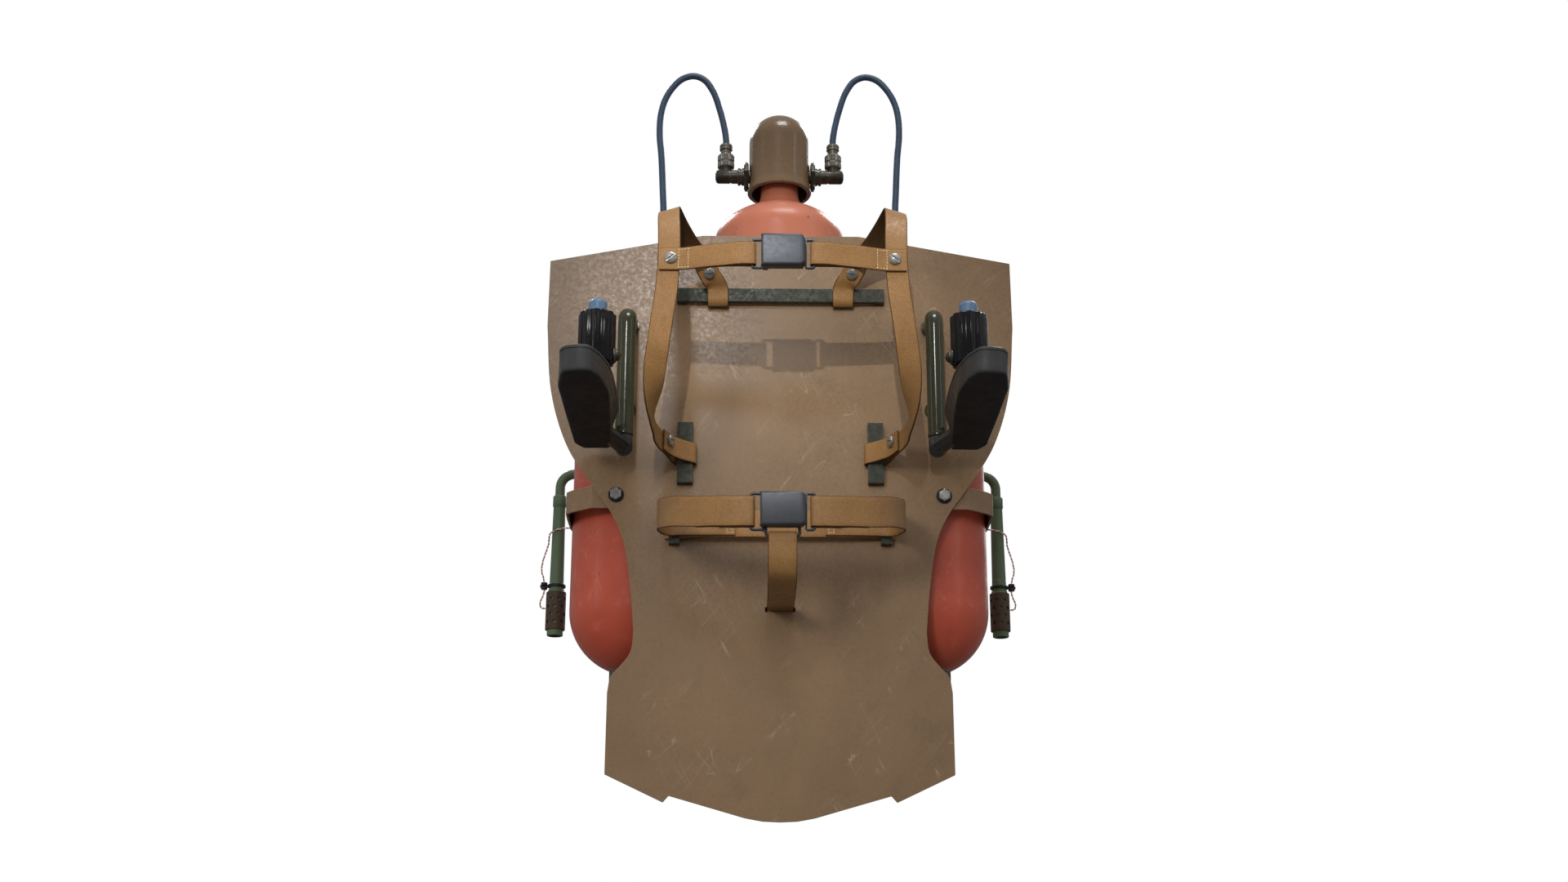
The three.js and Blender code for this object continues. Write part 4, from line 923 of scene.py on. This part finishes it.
def waist_strap():
    y, z = WAIST[1:]
    path = [
        (-54, -17.2, 353.5), (-71, -17.2, 353.5), (-88, -17.2, 353.5), (-104, -16.6, 353.5),
        (-118, -16.4, 353.5), (-130, -18.4, 352.5), (-138.5, -31, 350.5), (-142, -55, 346.5),
        (-143, -85, 340.5), (-141, -115, 334.5), (-134, -143, 328.5), (-120, -167, 323.5),
        (-98, -185, z + 3.5), (-75, -195, z + 1.5), (-57, -200.6, z), (-46, y - 3.5, z)]
    path += [(a, b, z) for a, b in turn_round(y)]
    path += [(-46, y + 3.5, z), (-57, y + 3.9, z), (-74, -191.4, z + 1.5), (-94, -183, z + 3.3)]
    return Strap(path, WAIST_WIDTH)


def back_belt():
    half = [(-138.5, -3), (-127, -2.8), (-117, -3.2), (-105, -7), (-92, -11.6), (-79, -13.8), (-60, -14)]
    path = half + [(-x, y) for x, y in reversed(half)]
    return Strap([(x, y, BACK_Z - 0.5) for x, y in path], WAIST_WIDTH)


def crotch_strap():
    y, z = WAIST[1], WAIST[2] - 27
    path = [(y + 0.7, z - 25), (y + 1.6, z - 18), (y + 3.5, z - 9)] + arc(y, z, 3.5, 3.5, 0, 180, 8)
    path += [(y - 3.5, z - 10), (y - 3.4, z - 18), (y - 1.6, z - 28), (y + 7, z - 40), (y + 24, z - 46),
             (y + 58, z - 47), (y + 108, z - 45), (-45, z - 42), (-14, SLOT_Z), (3, SLOT_Z),
             (6.6, SLOT_Z - 3.4), (7.4, SLOT_Z - 8), (7.4, SLOT_Z - 26)]
    return Strap([(0, a, b, (1, 0, 0)) for a, b in path], CROTCH_WIDTH)


def wire(points):
    return tube(rounded(points, 2.5, 5), WIRE_R, 14)


def frame_bar(side, start, half):
    x = side * FRAME_X
    return wire([(side * start, 0, half), (x, 0, half), (x, 0, -half), (side * start, 0, -half)])


def buckle_body(half, lower_bar):
    plate = carve(block(-23, 23, -2.6, 3.2, -16.8, 16.8), block(-9, 30, -1.4, 1.4, -12, 12))
    out = plate + block(-23, -17, -2.6, 3.2, -half - 1.6, half + 1.6) + frame_bar(-1, 20, half)
    for z in (-17.3, 15):
        out += block(-22.6, -19.4, -6.8, -2, z, z + 2.3)
    out += rod((PIN_X, PIN_Y, -19.2), (PIN_X, PIN_Y, 19.2), PIN_R, 0.2, 16)
    if lower_bar:
        out += wire([(-18.6, 0, -15), (-18.6, 0, -27), (18.6, 0, -27), (18.6, 0, -15)])
    return out


def buckle_cover():
    corner, x, z = 7, 25.2, 19.5

    def drawing(inset, end):
        r = corner - inset
        round_low = arc(x - corner, corner - z, r, r, -90, 0, 12)
        round_high = arc(x - corner, z - corner, r, r, 0, 90, 12)
        return [(end, inset - z)] + round_low + round_high + [(end, z - inset)]

    nose = [(-16, 3.2), (-15.85, 2.1), (-15.4, 1.2), (-14.6, 0.45), (-13.4, 0), (-3.4, 0)]
    outside = loft([[Vector((a, y, b)) for a, b in drawing(depth, depth - x)] for y, depth in nose])
    relief = prism([(-27, -10.5), (-25.2, -10.5), (-22.6, -3), (-27, -3)], -25, 25, "z")
    return carve(carve(outside, prism(drawing(1.6, -x - 5), -14, 2)), relief)


def buckle_tongue(half):
    blade = block(-6, 26, -1, 1, -11.6, 11.6) + block(24.6, 27, -2, 2, -half, half)
    return blade + frame_bar(1, 26, half)


for name, (at, towards, angle) in SCREWS.items():
    pair(f"{name}_screw", binding_screw(at, towards, angle), ZINC)
shoulder = Strap(SHOULDER_PATH, SHOULDER_WIDTH)
# Where the shoulder strap folds over its bar, its back takes the darker leather as painted shade.
shoulder = shoulder.shape(lambda p: p.z > 672 and p.y < -36) + shoulder.box_stitch(16, 22, 10)
pair("shoulder_strap", shoulder, STRAP)
chest = chest_strap()
pair("chest_strap", chest.shape() + chest.box_stitch(22.5, 34, 11), STRAP)
waist = waist_strap()
pair("waist_strap", waist.shape() + waist.box_stitch(4, 10, 14, -1), STRAP)
piece("back_belt", back_belt().shape(), STRAP)
crotch = crotch_strap()
piece("crotch_strap", crotch.shape(), STRAP)
for name, (_, y, z), width in (("chest", CHEST, CHEST_WIDTH), ("waist", WAIST, WAIST_WIDTH)):
    half = width / 2 + 3
    for part, shape, body, bevel in (("body", buckle_body(half, name == "waist"), "rig", 0.35),
                                     ("cover", buckle_cover(), f"{name}_cover", 0.3),
                                     ("tongue", buckle_tongue(half), "rig", 0.35)):
        piece(f"{name}_buckle_{part}", shape.moved(0, y, z), BUCKLE, body, bevel)


# ---------- armrests and control grips ----------
def arm_tube():
    x, y = ARM
    out = tube(rounded([(x, -2, ARM_TOP), (x, y, ARM_TOP), (x, y, ARM_END)], 15, 14), 11, 36)
    out += tube([(x, -2, ARM_STUB), (x, y, ARM_STUB)], 7.5, 28)
    for z, r in ((ARM_TOP, 12.5), (ARM_STUB, 10.5)):
        out += rod((x, -4, z), (x, -0.4, z), r, 0.8, 40)
    lip = [(7.6, 452), (10.4, 451.4), (11.3, 452.4), (11.3, 456), (11, 456.6), (7.6, 456.6), (7.6, 452)]
    return out + lathe(lip, (x, y, 0))


PAD_BACK = [(-203.5, -48.6), (-236.4, -48), (-245.2, -66), (-245.7, -168)]
PAD_TOP = [
    (-240, -307), (-233, -316), (-217, -320), (-206.7, -317), (-197.5, -295.5), (-190.2, -261),
    (-188.4, -232), (-187.9, -192), (-188.8, -150), (-190.6, -107), *PAD_BACK, (-244.6, -262)]
PAD_LOW = [
    (-239.4, -303), (-235, -316), (-216, -320.4), (-205.6, -318.6), (-196.4, -297.5), (-190.8, -255),
    (-191, -230), (-192.8, -197), (-195, -160), (-198, -124.5), *PAD_BACK, (-245.4, -264)]


def even_outline(points, count):
    """A closed outline resampled at even steps, with its corners slightly rounded."""
    soft = []
    n = len(points)
    for i in range(n):
        a, b, c = (Vector((*points[j % n], 0)) for j in (i - 1, i, i + 1))
        cut_back = min(4.0, (a - b).length / 3)
        cut_ahead = min(4.0, (c - b).length / 3)
        start, end = b + (a - b).normalized() * cut_back, b + (c - b).normalized() * cut_ahead
        soft += [start.lerp(b, t).lerp(b.lerp(end, t), t) for t in (0, 0.25, 0.5, 0.75, 1)]
    loop = soft + [soft[0]]
    spans = [0.0]
    for a, b in zip(loop, loop[1:]):
        spans.append(spans[-1] + (b - a).length)
    out, k = [], 0
    for i in range(count):
        s = spans[-1] * i / count
        while spans[k + 1] < s:
            k += 1
        out.append(loop[k].lerp(loop[k + 1], (s - spans[k]) / max(spans[k + 1] - spans[k], 1e-9)))
    return out


def inset(outline, depth):
    out, n = [], len(outline)
    for i, p in enumerate(outline):
        ahead = (outline[(i + 1) % n] - outline[i - 1]).normalized()
        out.append(p + Vector((-ahead.y, ahead.x, 0)) * depth)
    return out


def armrest():
    top, low = even_outline(PAD_TOP, 150), even_outline(PAD_LOW, 150)
    levels = [
        (434, 4.5, 0), (434.3, 2.2, 0), (435.2, 0.8, 0), (436.6, 0.15, 0), (438.5, 0, 0), (446, 0, 0.3),
        (454, 0, 0.65), (459.2, 0, 0.9), (459.6, 0.8, 0.9), (460.6, 0.8, 0.95), (461, 0, 0.95),
        (462.6, 0, 1), (464, 0.5, 1), (464.8, 1.7, 1), (465, 3.5, 1)]
    rings = []
    for z, depth, share in levels:
        outline = inset([a.lerp(b, share) for a, b in zip(low, top)], depth)
        rings.append([Vector((p.x, p.y, z)) for p in outline])
    pad = loft(rings)
    n = len(rings[0])
    # The pad's lowest band and its bottom take the darker copy as painted shade.
    for f in range(2 * n):
        pad.slots[f] = 1
    pad.slots[-2] = 1
    x, y = ARM
    bowl = [(0, 426.4)] + arc(0, 437, 10.7, 10.7, -80, 0, 10)
    bowl += [(10.7, 449.6), (10, 451), (7, 451.3), (7, 474), (0, 474)]
    elbow = lathe(bowl, (x, y, 0)) + rod((x, y, 438.5), (-216, -88, 448.5), 10.2, 1.2, 40)
    out = pad + elbow.painted(3)
    gx, gy, gz = GRIP
    cross_hole = rod((gx - 12, gy, gz), (gx + 12, gy, gz), 4.6, 0.1)
    stem = carve(rod((gx, gy, 444), (gx, gy, gz + 18), 8, 1), cross_hole)
    boot = lathe([(0, 464.6), (13.6, 464.6), (13.2, 465.8), (10, 468), (8.4, 470.6), (0, 470.6)],
                 (gx, gy, 0), slot=2)
    return out + stem.painted(2) + boot


def grip():
    x, y, z = GRIP
    low, high, r = 471 - z, GRIP_TOP - z, GRIP_R

    def fluted(a, s):
        if s < r - 2.2:
            return s
        return s - 2.0 * (0.5 - 0.5 * math.cos(12 * a)) ** 0.7

    profile = [
        (0, low + 36), (14.5, low + 36), (14.5, low + 0.6), (15.2, low), (r - 2, low),
        (r - 0.6, low + 0.6), (r, low + 2), (r, high - 2.4), (r - 0.5, high - 1), (r - 1.7, high),
        (12.2, high), (11.4, high - 0.5), (11, high - 1.4), (11, high - 16), (0, high - 16)]
    out = lathe(profile, (x, y, z), sides=192, reshape=fluted)
    out += rod((x - 14, y, z), (x + 21, y, z), 4, 0.4)
    out += rod((x + 18.6, y, z), (x + 22, y, z), 8.5, 1, 40, slot=1)
    return out + ball((x + 22.4, y, z), 6.2, 0.8, (1, 0, 0), slot=1)


def grip_button():
    x, y, z = GRIP
    high = GRIP_TOP - z
    cap = [(0, high - 10), (10.4, high - 10), (10.4, high + 11)] + arc(0, high + 11, 10.4, 7, 10, 84, 12)
    return lathe(cap + [(0, high + 17.6)], (x, y, z), sides=64)


pair("arm_tube", arm_tube(), OLIVE)
pair("armrest", armrest(), [PAD, PAD_UNDER_SHADE, BLACK, ELBOW_GREY], ("left_arm", "right_arm"))
pair("grip", grip(), [GLOSS, GUNMETAL], ("left_control", "right_control"))
pair("grip_button", grip_button(), BLUE, ("left_button", "right_button"))


# ---------- stage ----------
AIM = Vector((0, 0, 550))           # what the area lamps point at
LAMP_DISTANCE = 3.2                 # in metres


def aimed(o, aim, direction, distance):
    """Puts a lamp or a camera at a distance from a point, in a direction, and turns it to face that point."""
    back = Vector(direction).normalized()
    o.location = (Vector(aim) - ORIGIN) * MM + back * distance
    o.rotation_mode = "QUATERNION"
    o.rotation_quaternion = (-back).to_track_quat("-Z", "Y")
    return o


def area_light(name, direction, size, watts, diffuse=True, gloss=True):
    """A lamp that faces AIM; diffuse and gloss say which kinds of reflection it makes."""
    lamp = bpy.data.lights.new(name, "AREA")
    lamp.shape, lamp.energy = "RECTANGLE", watts
    lamp.size, lamp.size_y = size
    o = aimed(add(name, lamp), AIM, direction, LAMP_DISTANCE)
    o.visible_diffuse, o.visible_glossy = diffuse, gloss


def spot_light(name, aim, direction, watts, degrees, radius):
    """A narrow lamp that fades towards its rim and makes no highlights; its radius softens its shadows."""
    lamp = bpy.data.lights.new(name, "SPOT")
    lamp.energy, lamp.shadow_soft_size = watts, radius
    lamp.spot_size, lamp.spot_blend = math.radians(degrees), 1.0
    aimed(add(name, lamp), aim, direction, LAMP_DISTANCE).visible_glossy = False


def background(tree, below, above, colour=(1, 1, 1)):
    """Light from all round, with one strength from straight below and another from straight above."""
    n = tree.nodes.new("ShaderNodeBackground")
    n.inputs["Color"].default_value = (*colour, 1)
    coords = tree.nodes.new("ShaderNodeTexCoord")
    split = tree.nodes.new("ShaderNodeSeparateXYZ")
    tree.links.new(coords.outputs["Generated"], split.inputs[0])
    ramp = tree.nodes.new("ShaderNodeMapRange")
    tree.links.new(split.outputs["Z"], ramp.inputs["Value"])
    for key, value in (("From Min", -0.6), ("From Max", 0.6), ("To Min", below), ("To Max", above)):
        ramp.inputs[key].default_value = value
    tree.links.new(ramp.outputs["Result"], n.inputs["Strength"])
    return n.outputs["Background"]


def studio_world():
    """White behind the object, an even soft light on it, and darker surroundings in its reflections."""
    world = bpy.data.worlds.new("studio")
    bpy.context.scene.world = world
    world.use_nodes = True
    tree = world.node_tree
    tree.nodes.clear()
    ray = tree.nodes.new("ShaderNodeLightPath")
    soft = tree.nodes.new("ShaderNodeMixShader")
    whole = tree.nodes.new("ShaderNodeMixShader")
    out = tree.nodes.new("ShaderNodeOutputWorld")
    tree.links.new(ray.outputs["Is Glossy Ray"], soft.inputs["Fac"])
    tree.links.new(background(tree, 0.20, 0.86, (1, 0.98, 0.95)), soft.inputs[1])
    tree.links.new(background(tree, 0.07, 0.34), soft.inputs[2])
    tree.links.new(ray.outputs["Is Camera Ray"], whole.inputs["Fac"])
    tree.links.new(soft.outputs["Shader"], whole.inputs[1])
    tree.links.new(background(tree, 1.0, 1.0), whole.inputs[2])
    tree.links.new(whole.outputs["Shader"], out.inputs["Surface"])


spot_light("key", (0, 0, 600), (-0.065, -0.985, 0.155), 225, 11.5, 0.018)
spot_light("low_fill", (-60, 0, 200), (-0.35, -0.93, 0.1), 330, 16, 0.45)
area_light("fill", (-0.1, -0.95, 0.22), (2.0, 1.6), 8, gloss=False)
area_light("gloss", (-0.100, -0.916, 0.41), (0.22, 0.34), 15, diffuse=False)
area_light("right_streak", (0.85, -0.45, 0.30), (0.12, 2.2), 4, diffuse=False)
area_light("left_streak", (-0.9, -0.35, 0.25), (0.12, 2.2), 4, diffuse=False)
for side in (-1, 1):
    area_light("dome_glow", (0.38 * side, 0.65, 0.68), (0.6, 0.6), 20, diffuse=False)
area_light("top", (0.1, -0.3, 1), (1.2, 0.9), 38)
area_light("back", (0.3, 0.95, 0.4), (1.8, 1.6), 22)
studio_world()

floor_mesh = bpy.data.meshes.new("floor")
floor_mesh.from_pydata([(-30, -30, -1), (30, -30, -1), (30, 30, -1), (-30, 30, -1)], [], [(0, 1, 2, 3)])
floor = add("floor", floor_mesh)
floor_paint = Paint("floor", 0.8)
floor_paint.colour(floor_paint.mix(floor_paint.noise(3, 3), (0.80, 0.80, 0.79), (0.84, 0.84, 0.83)))
floor_mesh.materials.append(floor_paint.mat)
floor.visible_diffuse = floor.visible_glossy = False

bpy.context.scene.view_settings.view_transform = "Standard"

camera = add("camera", bpy.data.cameras.new("camera"))
bpy.context.scene.camera = camera
camera.data.sensor_width, camera.data.lens = 36, 43.125
azimuth, elevation = math.radians(-0.9), math.radians(-18)
level = math.cos(elevation)
towards = (math.sin(azimuth) * level, -math.cos(azimuth) * level, math.sin(elevation))
aimed(camera, (4.5, 0, 460.6), towards, 2.3)
camera.data.clip_start, camera.data.clip_end = 0.05, 200
